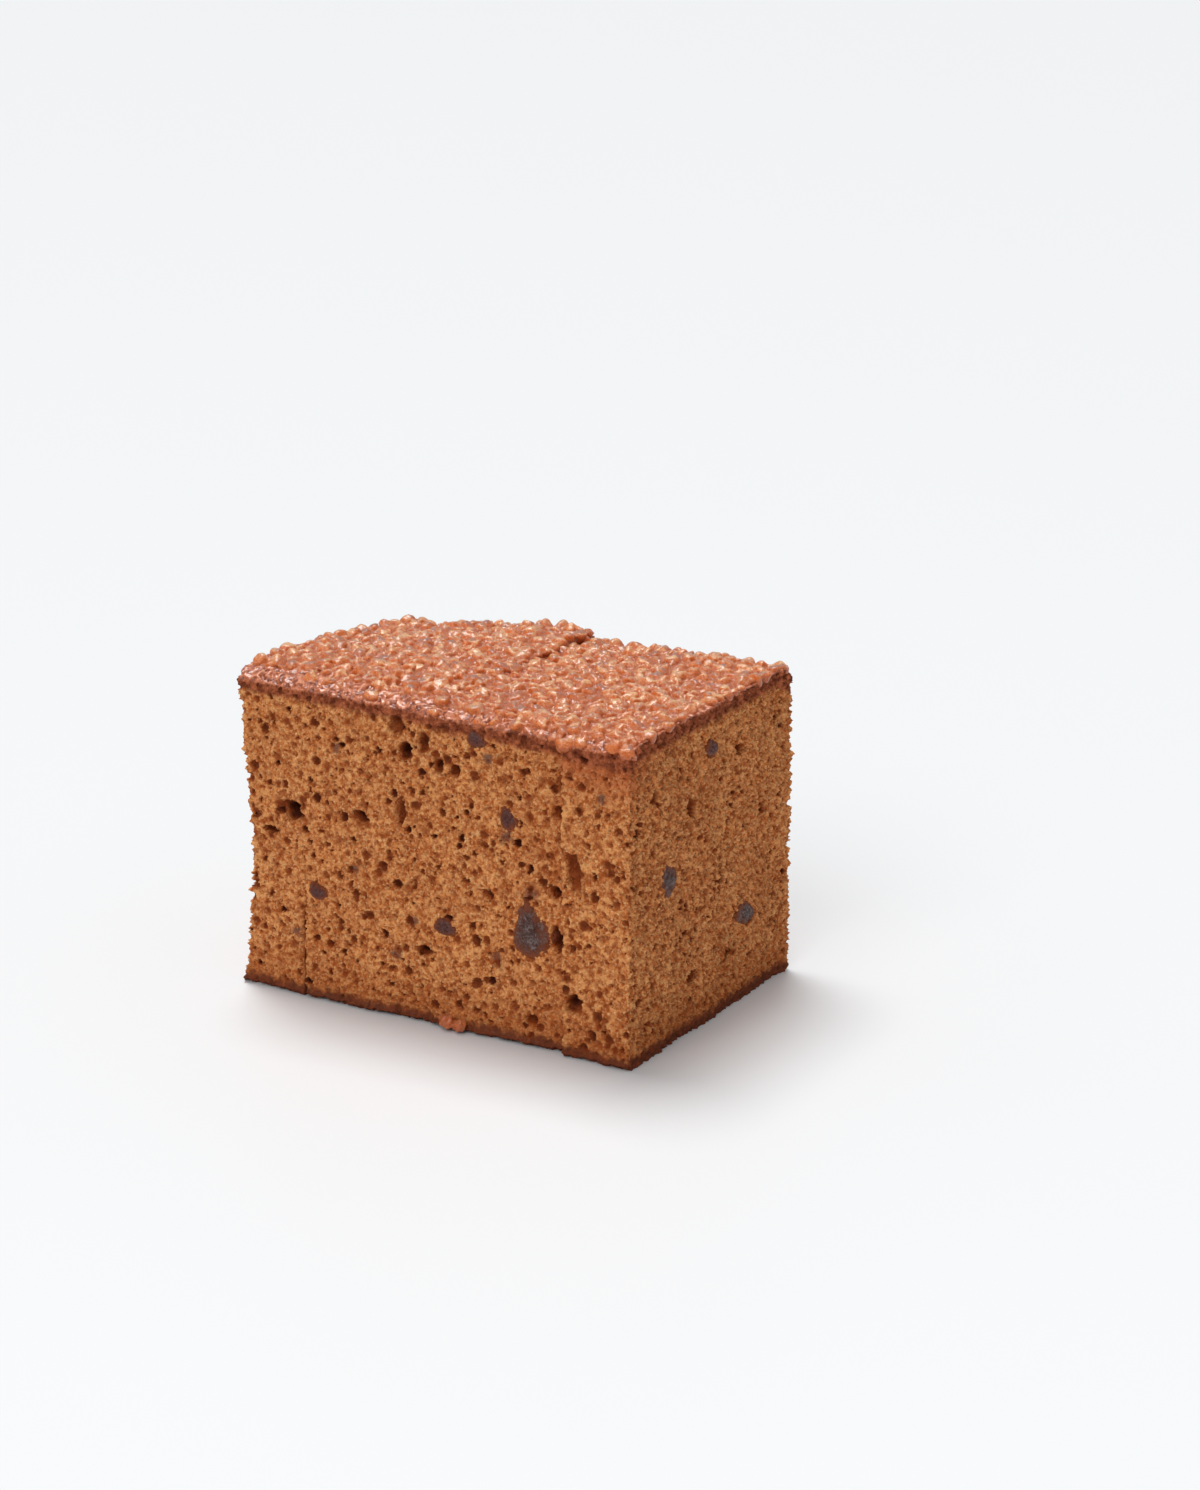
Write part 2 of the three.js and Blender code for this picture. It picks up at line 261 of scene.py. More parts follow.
def dented(points: np.ndarray, waves: list[list[float]], depth: float, seed: float) -> np.ndarray:
    """Makes a ball uneven by three slow waves.

    Args:
        points: The ball's points.
        waves: The waves' directions and tightness, one in each column.
        depth: How deep they are, as a share of the ball's radius.
        seed: Where they start.

    Returns:
        The uneven ball's points.
    """
    return points * (1 + depth * np.sin(points @ np.array(waves) + seed).mean(1, keepdims=True))


class Graph:
    """A node tree that is filled by short calls. Each call gives back an output socket."""

    def __init__(self, tree: bpy.types.NodeTree) -> None:
        """Starts on a tree, which may be empty."""
        self.tree = tree

    def feed(self, socket: Socket, value: Value) -> None:
        """Links a socket to another's output, or sets its own value.

        Args:
            socket: The input.
            value: An output socket, or a plain value.
        """
        if isinstance(value, Socket):
            self.tree.links.new(value, socket)
        elif value is not None:
            if socket.type == "RGBA" and len(value) == 3:
                value = (*value, 1.0)
            socket.default_value = value

    def node(self, kind: str, inputs: Optional[Inputs] = None, **settings: object) -> bpy.types.Node:
        """Adds a node.

        Args:
            kind: Its type name.
            inputs: Values or sockets for its inputs, by name or number.
            settings: Its other settings.

        Returns:
            The node.
        """
        node = self.tree.nodes.new(kind)
        for name, value in settings.items():
            setattr(node, name, value)
        usable = [socket for socket in node.inputs if socket.enabled]
        for name, value in (inputs or {}).items():
            socket = usable[name] if isinstance(name, int) else next(s for s in usable if s.name == name)
            self.feed(socket, value)
        return node

    def math(self, operation: str, *values: Value) -> Socket:
        """Works out a number from up to three others."""
        return self.node("ShaderNodeMath", dict(enumerate(values)), operation=operation).outputs[0]

    def plus(self, first: Value, second: Value) -> Socket:
        """Adds two numbers."""
        return self.math("ADD", first, second)

    def minus(self, first: Value, second: Value) -> Socket:
        """Takes the second number from the first."""
        return self.math("SUBTRACT", first, second)

    def times(self, first: Value, second: Value) -> Socket:
        """Multiplies two numbers."""
        return self.math("MULTIPLY", first, second)

    def over(self, first: Value, second: Value) -> Socket:
        """Divides the first number by the second."""
        return self.math("DIVIDE", first, second)

    def most(self, first: Value, second: Value) -> Socket:
        """The larger of two numbers."""
        return self.math("MAXIMUM", first, second)

    def least(self, first: Value, second: Value) -> Socket:
        """The smaller of two numbers."""
        return self.math("MINIMUM", first, second)

    def vector(self, operation: str, first: Value, second: Value = None) -> bpy.types.Node:
        """Works out a vector or its length from others."""
        inputs = {0: first} if second is None else {0: first, 1: second}
        return self.node("ShaderNodeVectorMath", inputs, operation=operation)

    def scaled(self, vector: Value, factor: Value) -> Socket:
        """Multiplies a vector by a number."""
        inputs = {"Vector": vector, "Scale": factor}
        return self.node("ShaderNodeVectorMath", inputs, operation="SCALE").outputs[0]

    def span(self, value: Value, low: Value, high: Value, to_low: float = 0.0, to_high: float = 1.0,
             smooth: bool = False) -> Socket:
        """Maps a range of numbers to another, held at its ends.

        Args:
            value: The number.
            low: Where the first range starts.
            high: Where it ends.
            to_low: What low becomes.
            to_high: What high becomes.
            smooth: Whether the ends are eased.

        Returns:
            The mapped number.
        """
        node = self.node(
            "ShaderNodeMapRange",
            {"Value": value, "From Min": low, "From Max": high, "To Min": to_low, "To Max": to_high},
            interpolation_type="SMOOTHSTEP" if smooth else "LINEAR",
        )
        return node.outputs["Result"]

    def noise(self, place: Value, scale: Value, detail: Value = 2.0, rough: Value = 0.5) -> bpy.types.Node:
        """Adds a noise pattern at a place, with its scale in patches for each unit of place."""
        inputs = {"Vector": place, "Scale": scale, "Detail": detail, "Roughness": rough}
        return self.node("ShaderNodeTexNoise", inputs)

    def cells(self, place: Value, scale: float) -> bpy.types.Node:
        """Adds a pattern of cells at a place."""
        return self.node("ShaderNodeTexVoronoi", {"Vector": place, "Scale": scale})

    def shaken(self, place: Socket, scale: float, size: float, detail: float = 2.0,
               rough: float = 0.5) -> Socket:
        """Moves places about, so that the patterns laid on them lose their straight edges.

        Args:
            place: The places.
            scale: Patches of the movement for each unit of place.
            size: How far it reaches.
            detail: How many finer layers lie on it.
            rough: How strong the finer layers are.

        Returns:
            The moved places.
        """
        cloud = self.noise(place, scale, detail, rough).outputs["Color"]
        away = self.vector("SUBTRACT", cloud, Vector((0.5, 0.5, 0.5))).outputs[0]
        return self.vector("ADD", place, self.scaled(away, size)).outputs[0]

    def part(self, vector: Value, axis: int) -> Socket:
        """Takes one number out of a vector."""
        return self.node("ShaderNodeSeparateXYZ", {0: vector}).outputs[axis]

    def blend(self, factor: Value, first: Value, second: Value) -> Socket:
        """Mixes two colours.

        Args:
            factor: The second colour's share.
            first: The first colour.
            second: The second colour.

        Returns:
            The mixed colour.
        """
        node = self.node("ShaderNodeMix", data_type="RGBA")
        for number, value in ((0, factor), (6, first), (7, second)):  # the sockets that mix colours
            self.feed(node.inputs[number], value)
        return node.outputs[2]

    def ramp(self, factor: Value, stops: list[tuple[float, Colour]]) -> Socket:
        """Turns a number into a colour by a ramp of stops."""
        node = self.node("ShaderNodeValToRGB", {0: factor})
        elements = node.color_ramp.elements
        while len(elements) < len(stops):
            elements.new(0.5)
        for element, (place, colour) in zip(elements, stops):
            element.position = place
            element.color = (*colour, 1.0)
        return node.outputs[0]


# ---------------------------------------------------------------------------------------------
# The cake's measures.

PITCH = 15.8  # one slice with its share of the gap
GAP = 0.3
DEPTH = 66.0  # from the front crumb face to the back one
CROWN_AT = 14.0  # depth at which the crust is highest
CROWN_DIP = 0.8
REAR_LIP = 4.0
CRUST_DROP = 3.0
CRUST_THICK = 1.6
BASE_CRUST = 1.8
BASE_FLARE = 0.5
BASE_ROUND = 0.7
LEFT_BOW = 2.2  # hollow of the left end
LEFT_FOOT = 1.4
LEFT_FOOT_RISE = 7.2
FIRST_CUT_WEDGE = 0.7
FIRST_CUT_RISE = 33.0
CRUMB_WAVE = 0.45
CALM_REACH = 6.0
SEAM_WANDER = 0.3  # how far a cut strays from its plane
SEAM_GAP = 0.02
LIP_EASE = 1.5  # how far behind the lip the crumb's upper edge comes level with the crust
REAR_EASE = 6.0  # how far before the back it starts to fall
REAR_REACH = 5.0  # over what depth it falls
REAR_SINK = 0.6  # how much lower than the crust's own edge it ends


def wave(a: np.ndarray, b: np.ndarray, seed: float) -> np.ndarray:
    """Slow unevenness of a crumb face, from -1 to 1, at two measures along it in millimetres."""
    return (np.sin(a * 0.33 + seed) + np.sin(a * 0.17 + b * 0.19 + 2 * seed)) / 2


@dataclass(frozen=True)
class SliceForm:
    """One slice's own measures.

    Attributes:
        front: How far its front stands in from the nominal face.
        back: The same for its back.
        foot: Height where the crumb ends and the top crust begins.
        crown: Height of the crust behind its front lip.
        rear: Height of the crust at the back.
        lip: How far the crust's front edge takes to round over.
        band: How far the browning reaches down the crumb face below its foot.
    """

    front: float
    back: float
    foot: float
    crown: float
    rear: float
    lip: float
    band: float

    def crust_height(self, depth: np.ndarray) -> np.ndarray:
        """Height of the crust over the depth, without its lumps."""
        share = smooth_step((depth - CROWN_AT) / (DEPTH - CROWN_AT))
        falling = self.crown + (self.rear - self.crown) * share
        rising = self.crown - CROWN_DIP * (1 - depth / CROWN_AT) ** 2
        return np.where(depth <= CROWN_AT, rising, falling)


SLICES = (
    SliceForm(front=0.2, back=1.6, foot=66.6, crown=69.6, rear=65.2, lip=7.5, band=0.2),
    SliceForm(front=0.1, back=0.9, foot=66.6, crown=69.6, rear=67.2, lip=7.5, band=0.3),
    SliceForm(front=0.3, back=0.0, foot=66.2, crown=69.0, rear=68.8, lip=5.5, band=0.8),
    SliceForm(front=0.4, back=0.9, foot=65.4, crown=68.2, rear=67.0, lip=3.0, band=1.2),
    SliceForm(front=0.8, back=0.5, foot=64.9, crown=67.8, rear=67.8, lip=2.5, band=1.6),
    SliceForm(front=-0.2, back=0.2, foot=64.2, crown=67.6, rear=67.8, lip=2.5, band=6.0),
)
STEPS = {3: ("rear",), 5: ("front", "band")}  # what doesn't meet halfway at a cut
STEP_SEAM = 5  # the cut whose step in the front is widened
STEP_OUT = 0.8  # how much it is widened each way
STEP_SHOWN = 3.5  # how far back the last slice's left side stays detailed, where that step bares it


def eased_forms(index: int) -> tuple[SliceForm, SliceForm, SliceForm]:
    """A slice's measures at its left cut, at its middle and at its right cut.

    Args:
        index: Which slice it is, from the left.

    Returns:
        The measures, which meet the neighbours' halfway, apart from the steps that show.
    """
    own = SLICES[index]

    def towards(neighbour: int, seam: int) -> SliceForm:
        """The measures at the cut to a neighbour."""
        if not 0 <= neighbour < len(SLICES):
            return own
        shared = [name for name in vars(own) if name not in STEPS.get(seam, ())]
        eased = replace(own, **{n: (getattr(own, n) + getattr(SLICES[neighbour], n)) / 2 for n in shared})
        if seam != STEP_SEAM:
            return eased
        return replace(eased, front=own.front + (STEP_OUT if index < seam else -STEP_OUT))

    return towards(index - 1, index), own, towards(index + 1, index + 1)


class Block:
    """Where the block of slices stands in the frame, and the faces of its slices."""

    def __init__(self) -> None:
        """Finds the block's front left foot from the third slice, whose sides are flat."""
        low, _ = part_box("slice_3")
        self.corner = np.array([
            low.x / MM - 2 * PITCH - GAP / 2,
            low.y / MM - SLICES[2].front + BASE_FLARE,
            0.0,
        ])

    def place(self, points: np.ndarray) -> np.ndarray:
        """Turns the cake's millimetres into the frame's metres."""
        return (points + self.corner) * MM

    def seam(self, number: int, depth: np.ndarray, height: np.ndarray) -> np.ndarray:
        """How far the cut after a number of slices wanders from its plane."""
        return SEAM_WANDER * (wave(depth * 1.9, height * 2.3, number * 1.7)
                              + 0.6 * wave(depth * 5.3, height * 4.9, number * 2.9))

    def left(self, index: int, depth: np.ndarray, height: np.ndarray) -> np.ndarray:
        """Where a slice's left face stands."""
        if index > 0:
            return index * PITCH + SEAM_GAP + self.seam(index, depth, height)
        hollow = LEFT_BOW * np.sin(math.pi * np.minimum(1, height / SLICES[0].foot))
        run = LEFT_FOOT * np.maximum(0, 1 - height / LEFT_FOOT_RISE) ** 2
        return hollow - run + CRUMB_WAVE * wave(depth, height, 1.4)

    def right(self, index: int, depth: np.ndarray, height: np.ndarray) -> np.ndarray:
        """Where a slice's right face stands."""
        if index == len(SLICES) - 1:
            return (index + 1) * PITCH - GAP / 2 + CRUMB_WAVE * wave(depth, height, 4.1)
        plane = (index + 1) * PITCH - SEAM_GAP + self.seam(index + 1, depth, height)
        if index > 0:
            return plane
        return plane - FIRST_CUT_WEDGE * np.maximum(0, 1 - height / FIRST_CUT_RISE)

    def sway(self, index: int, along: np.ndarray, depth: np.ndarray, height: np.ndarray) -> np.ndarray:
        """How far the unevenness of the front and back moves a point in depth."""
        calm = np.clip((SLICES[index].foot - height) / CALM_REACH, 0, 1)
        front = wave(along, height, 0.3)
        back = -wave(along, height, 5.2)
        return CRUMB_WAVE * calm * (front + (back - front) * depth / DEPTH)

    def seat(self, spot: "Spot") -> tuple[np.ndarray, float]:
        """The point of a face where something sits, and the turn that faces it that way.

        Args:
            spot: What sits there.

        Returns:
            The point in the cake's millimetres, and the turn about Z in radians.
        """
        index = min(len(SLICES) - 1, int(spot.along // PITCH))
        form = SLICES[index]
        along, height = np.array(spot.along), np.array(spot.height)
        if spot.face is Face.FRONT:
            sway = self.sway(index, along, np.array(0.0), height)
            return np.array([spot.along, form.front + sway, spot.height]), 0.0
        if spot.face is Face.BACK:
            sway = self.sway(index, along, np.array(DEPTH), height)
            return np.array([spot.along, DEPTH - form.back + sway, spot.height]), math.pi
        if spot.face is Face.LEFT:
            return np.array([self.left(0, along, height), spot.along, spot.height]), -math.pi / 2
        last = len(SLICES) - 1
        return np.array([self.right(last, along, height), spot.along, spot.height]), math.pi / 2


@dataclass(frozen=True)
class Spot:
    """A hole or a raisin on a face.

    Attributes:
        face: The face it is on.
        along: Distance from the block's left end, or from its front on the two ends.
        height: Height of its middle.
        width: Its width.
        tall: Its height.
        thick: How far a hole goes in, or a raisin's thickness.
        tilt: Degrees from upright.
        proud: How far a raisin stands out.
    """

    face: Face
    along: float
    height: float
    width: float
    tall: float
    thick: float
    tilt: float = 0.0
    proud: float = 0.0


HOLES = (
    Spot(Face.FRONT, 13.3, 40.9, 5.4, 4.6, 3.4, 12),
    Spot(Face.FRONT, 7.4, 35.5, 4.4, 2.0, 2.4, -8),
    Spot(Face.FRONT, 30.0, 42.2, 4.4, 2.8, 2.6, 10),
    Spot(Face.FRONT, 39.9, 44.8, 2.8, 7.2, 1.8, 8),
    Spot(Face.FRONT, 39.4, 63.2, 4.0, 4.4, 1.8),
    Spot(Face.FRONT, 41.4, 58.1, 3.6, 4.2, 3.2, 10),
    Spot(Face.FRONT, 45.8, 60.6, 3.0, 5.0, 2.2, 8),
    Spot(Face.FRONT, 49.3, 56.2, 2.8, 3.4, 2.4),
    Spot(Face.FRONT, 53.2, 55.7, 2.8, 2.9, 2.4),
    Spot(Face.FRONT, 45.3, 16.0, 4.0, 2.4, 2.6, -6),
    Spot(Face.FRONT, 77.2, 50.8, 2.8, 3.2, 2.4),
    Spot(Face.FRONT, 77.5, 56.8, 2.4, 3.6, 2.0),
    Spot(Face.FRONT, 77.8, 45.0, 2.2, 3.2, 1.8),
    Spot(Face.FRONT, 76.9, 24.1, 2.6, 6.0, 3.0, -12),
    Spot(Face.FRONT, 76.2, 34.0, 2.8, 3.0, 2.6),
    Spot(Face.FRONT, 81.6, 39.4, 3.4, 10.0, 1.4, -8),
    Spot(Face.FRONT, 81.6, 11.8, 4.0, 4.6, 2.2, 20),
    Spot(Face.FRONT, 71.0, 5.8, 3.0, 2.6, 2.2),
    Spot(Face.RIGHT, 9.0, 55.0, 2.8, 3.4, 2.4),
    Spot(Face.RIGHT, 24.0, 48.5, 3.6, 5.6, 2.2, -20),
    Spot(Face.RIGHT, 44.0, 55.5, 3.2, 2.6, 2.6),
    Spot(Face.RIGHT, 36.0, 30.0, 3.4, 2.8, 2.4, 15),
    Spot(Face.RIGHT, 54.0, 40.0, 2.8, 3.6, 2.2),
    Spot(Face.RIGHT, 25.0, 12.0, 4.4, 2.6, 2.4, -10),
    Spot(Face.LEFT, 13.0, 52.0, 3.4, 4.4, 2.4, 10),
    Spot(Face.LEFT, 38.0, 33.0, 4.6, 3.2, 2.6),
    Spot(Face.LEFT, 26.0, 14.0, 3.8, 2.6, 2.4, -10),
    Spot(Face.BACK, 9.0, 54.0, 3.4, 4.6, 2.4),
    Spot(Face.BACK, 27.0, 20.0, 4.6, 2.6, 2.6, 8),
    Spot(Face.BACK, 40.0, 50.0, 3.2, 3.4, 2.6),
    Spot(Face.BACK, 52.0, 36.0, 4.0, 5.0, 2.4, -15),
    Spot(Face.BACK, 85.0, 22.0, 3.6, 3.0, 2.6),
)

RAISINS = (
    Spot(Face.FRONT, 71.0, 25.1, 8.8, 13.0, 6.5, 4, 0.7),
    Spot(Face.FRONT, 65.6, 47.8, 3.8, 5.2, 3.6, 0, 0.5),
    Spot(Face.FRONT, 19.2, 24.1, 5.0, 3.6, 3.4, 0, 0.5),
    Spot(Face.FRONT, 58.6, 63.4, 4.4, 3.6, 3.4, 0, 0.4),
    Spot(Face.FRONT, 50.6, 22.2, 5.2, 4.0, 3.6, 0, 0.5),
    Spot(Face.RIGHT, 32.0, 59.0, 5.0, 3.6, 3.6, 10, 0.5),
    Spot(Face.RIGHT, 15.0, 36.0, 7.0, 8.4, 5.0, -15, 0.5),
    Spot(Face.RIGHT, 47.0, 19.0, 8.2, 5.4, 5.0, 10, 0.4),
    Spot(Face.LEFT, 24.0, 44.0, 7.4, 5.4, 4.6, 12, 0.4),
    Spot(Face.LEFT, 49.0, 19.0, 5.4, 6.6, 4.2, 0, 0.3),
    Spot(Face.BACK, 23.0, 42.0, 6.2, 7.4, 4.6, 8, 0.4),
    Spot(Face.BACK, 55.5, 20.0, 8.4, 5.8, 5.0, -10, 0.5),
    Spot(Face.BACK, 81.0, 47.0, 5.2, 4.4, 3.8, 0, 0.5),
)


STAINS = (  # along the front, height and reach of small dark fruit specks; the last two, at the rims of two raisins, are partly fruit stain and partly painted shade
    (65.5, 65.3, 1.3), (38.5, 14.0, 1.4), (62.5, 17.5, 1.6), (42.5, 22.0, 1.5), (29.0, 31.0, 1.2),
    (35.5, 32.5, 1.2), (61.3, 59.5, 1.3), (14.0, 14.5, 1.3), (88.0, 56.0, 1.4), (24.5, 56.0, 1.2),
    (71.0, 33.0, 1.6), (65.0, 44.0, 1.6),
)

# ---------------------------------------------------------------------------------------------
# Finishes.


def mottle_group() -> bpy.types.NodeTree:
    """The uneven tone that crumb, sugar and raisin skin share, as one group of shader nodes.

    Returns:
        The group. It takes the patches in each millimetre, how finely they break up, and the two
        ends of the range that is spread from 0 to 1.
    """
    name = "mottle"
    if name in bpy.data.node_groups:
        return bpy.data.node_groups[name]
    tree = bpy.data.node_groups.new(name, "ShaderNodeTree")
    for socket, default in (("Scale", 1.0), ("Detail", 3.0), ("Break-up", 0.6), ("Low", 0.0), ("High", 1.0)):
        made = tree.interface.new_socket(socket, in_out="INPUT", socket_type="NodeSocketFloat")
        made.default_value = default
    tree.interface.new_socket("Mask", in_out="OUTPUT", socket_type="NodeSocketFloat")
    graph = Graph(tree)
    given = graph.node("NodeGroupInput").outputs
    place = graph.scaled(graph.node("ShaderNodeTexCoord").outputs["Object"], 1 / MM)
    pattern = graph.noise(place, given["Scale"], given["Detail"], given["Break-up"]).outputs["Fac"]
    graph.feed(graph.node("NodeGroupOutput").inputs[0], graph.span(pattern, given["Low"], given["High"]))
    return tree


class Finish:
    """A material made from nodes. A finish says in paint() what its nodes are."""

    def mottle(self, graph: Graph, scale: float, detail: float = 3.0, rough: float = 0.6, low: float = 0.0,
               high: float = 1.0) -> Socket:
        """Places the shared uneven tone with this finish's own values.

        Args:
            graph: The graph.
            scale: Patches in each millimetre.
            detail: How many finer layers lie on them.
            rough: How strong the finer layers are.
            low: Where the range that is spread starts.
            high: Where it ends.

        Returns:
            The mask, 0 to 1.
        """
        node = graph.node("ShaderNodeGroup", node_tree=mottle_group())
        for socket, value in zip(node.inputs, (scale, detail, rough, low, high)):
            graph.feed(socket, value)
        return node.outputs["Mask"]

    def place(self, graph: Graph) -> Socket:
        """The place on the piece, in millimetres."""
        return graph.scaled(graph.node("ShaderNodeTexCoord").outputs["Object"], 1 / MM)

    def relief(self, graph: Graph, surface: bpy.types.Node, height: Value, reach: float,
               strength: Value = 1.0) -> None:
        """Gives a surface fine relief.

        Args:
            graph: The graph.
            surface: The surface.
            height: How high each place stands.
            reach: The height of 1 in millimetres.
            strength: How much of it is used.
        """
        inputs = {"Strength": strength, "Distance": reach * MM, "Height": height}
        graph.feed(surface.inputs["Normal"], graph.node("ShaderNodeBump", inputs).outputs[0])

    def material(self, name: str) -> bpy.types.Material:
        """Makes the material.

        Args:
            name: The material's name.

        Returns:
            The material.
        """
        material = bpy.data.materials.new(name)
        material.use_nodes = True
        material.node_tree.nodes.clear()
        graph = Graph(material.node_tree)
        surface = graph.node("ShaderNodeBsdfPrincipled")
        output = graph.node("ShaderNodeOutputMaterial")
        graph.feed(output.inputs["Surface"], surface.outputs[0])
        self.paint(graph, surface)
        return material

    def paint(self, graph: Graph, surface: bpy.types.Node) -> None:
        """Adds the nodes of the finish and links them to the surface."""
        raise NotImplementedError

    def mesh_value(self, graph: Graph, name: str) -> Socket:
        """A number that the mesh carries at each point."""
        return graph.node("ShaderNodeAttribute", attribute_name=name).outputs["Fac"]


@dataclass(frozen=True)
class CrumbFinish(Finish):
    """Moist spiced crumb with its holes darkened by painted shade and its grains flecked with painted
    highlights, and the browned crust round it, with a painted sheen on its glazed top.
    """

    # painted highlight on the tops of the crumb's grains
    grain_highlight: Colour = srgb(253, 205, 146)
    pale: Colour = srgb(238, 168, 103)
    body: Colour = srgb(213, 132, 73)
    deep: Colour = srgb(172, 88, 36)
    # the next two colours are painted shade inside holes and pits
    hole: Colour = srgb(142, 60, 16)
    pit_shade: Colour = srgb(72, 24, 4)
    section: Colour = srgb(128, 60, 32)
    glaze: Colour = srgb(188, 104, 66)
    # painted sheen on the glazed top crust
    sheen: Colour = srgb(218, 148, 112)
    base_crust: Colour = srgb(104, 52, 30)
    fruit: Colour = srgb(100, 66, 60)
    # browning under the crust, also the painted shade beside the step
    toast_and_step_shade: Colour = srgb(190, 98, 56)

    def paint(self, graph: Graph, surface: bpy.types.Node) -> None:
        """Adds the nodes of the finish."""
        place = self.place(graph)
        bent = graph.shaken(place, 1.6, 0.5)

        clouds = self.mottle(graph, 0.11, 2, 0.5, 0.35, 0.7)
        patches = graph.noise(bent, 0.75, 4, 0.7).outputs["Fac"]
        colour = graph.ramp(patches, [(0.4, self.deep), (0.5, self.body), (0.6, self.pale)])
        colour = graph.blend(graph.times(clouds, 0.35), colour, self.deep)
        # Painted highlights: random grain middles lightened towards pale gold.
        grains = graph.cells(bent, 1.8)
        grain = graph.span(grains.outputs["Distance"], 0.1, 0.7, 1.0, 0.0)
        lit = graph.node("ShaderNodeSeparateColor", {0: grains.outputs["Color"]}).outputs[0]
        lit = graph.times(grain, graph.span(lit, 0.3, 1.0, 0.0, 0.8))
        colour = graph.blend(lit, colour, self.grain_highlight)

        tiny = graph.cells(bent, 1.5)
        draw = graph.node("ShaderNodeSeparateColor", {0: tiny.outputs["Color"]})
        size = graph.span(draw.outputs[0], 0.2, 1.0, 0.05, 0.36)
        prick = graph.over(graph.minus(size, tiny.outputs["Distance"]), 0.16)
        prick = graph.least(graph.most(prick, 0.0), 1.0)

        # Painted shade in the bubbles, wide holes, dimples and small pricks, darker where they are deeper.
        pore = self.mesh_value(graph, "pore")
        dimple = graph.times(self.mesh_value(graph, "dimple"), 0.75)
        dark = graph.most(graph.span(pore, 0.02, 0.5, 0.0, 1.0), graph.times(prick, 0.5))
        dark = graph.most(dark, dimple)

        # Darker towards the bottom, fading out by 11 millimetres up.
        colour = graph.blend(graph.span(graph.part(place, 2), 2.0, 11.0, 0.6, 0.0), colour, self.deep)
        # A painted highlight along the cuts' edges, strongest at the step.
        edge = graph.plus(self.mesh_value(graph, "edge"), graph.span(patches, 0.4, 0.6, -0.4, 0.2))
        colour = graph.blend(graph.span(edge, 0.1, 0.9, 0.0, 0.85), colour, self.pale)
        # Browning under the crust, with painted shade beside the step.
        tint = graph.plus(self.mesh_value(graph, "tint"), graph.span(patches, 0.35, 0.65, -0.3, 0.3))
        colour = graph.blend(graph.span(tint, 0.05, 0.9, 0.0, 0.75), colour, self.toast_and_step_shade)
        blot = graph.plus(self.mesh_value(graph, "stain"), graph.span(patches, 0.35, 0.65, -0.35, 0.35))
        colour = graph.blend(graph.span(blot, 0.3, 0.75, 0.0, 0.8), colour, self.fruit)
        colour = graph.blend(graph.times(dark, 0.9), colour, self.hole)
        colour = graph.blend(graph.span(pore, 0.45, 1.0), colour, self.pit_shade)
        crust, base, top = (self.mesh_value(graph, name) for name in ("crust", "base", "top"))
        # Blotches of the crust's own tones; on the glazed top their palest part is a painted sheen.
        crust_blotches_and_sheen = graph.noise(bent, 0.8, 3, 0.6).outputs["Fac"]
        section = graph.blend(graph.span(crust_blotches_and_sheen, 0.4, 0.65), self.section, self.glaze)
        section = graph.blend(graph.times(dark, 0.55), section, self.pit_shade)
        shine = graph.ramp(crust_blotches_and_sheen, [(0.42, self.section), (0.53, self.glaze), (0.68, self.sheen)])
        colour = graph.blend(crust, colour, graph.blend(top, section, shine))
        under = graph.blend(graph.span(crust_blotches_and_sheen, 0.4, 0.7), self.base_crust, self.section)
        colour = graph.blend(base, colour, under)
        graph.feed(surface.inputs["Base Color"], colour)
        gloss = graph.times(crust, top)
        graph.feed(surface.inputs["Roughness"], graph.span(gloss, 0, 1, 0.8, 0.5))
        graph.feed(surface.inputs["Coat Weight"], graph.times(gloss, 0.8))
        surface.inputs["Coat Roughness"].default_value = 0.22
        surface.inputs["Specular IOR Level"].default_value = 0.18
        fine = self.mottle(graph, 3.5, 3, 0.6)
        height = graph.plus(graph.times(grain, 0.6), graph.times(fine, 0.3))
        height = graph.minus(height, prick)
        calm = graph.span(graph.most(gloss, base), 0, 1, 1.0, 0.3)
        self.relief(graph, surface, height, 0.2, calm)


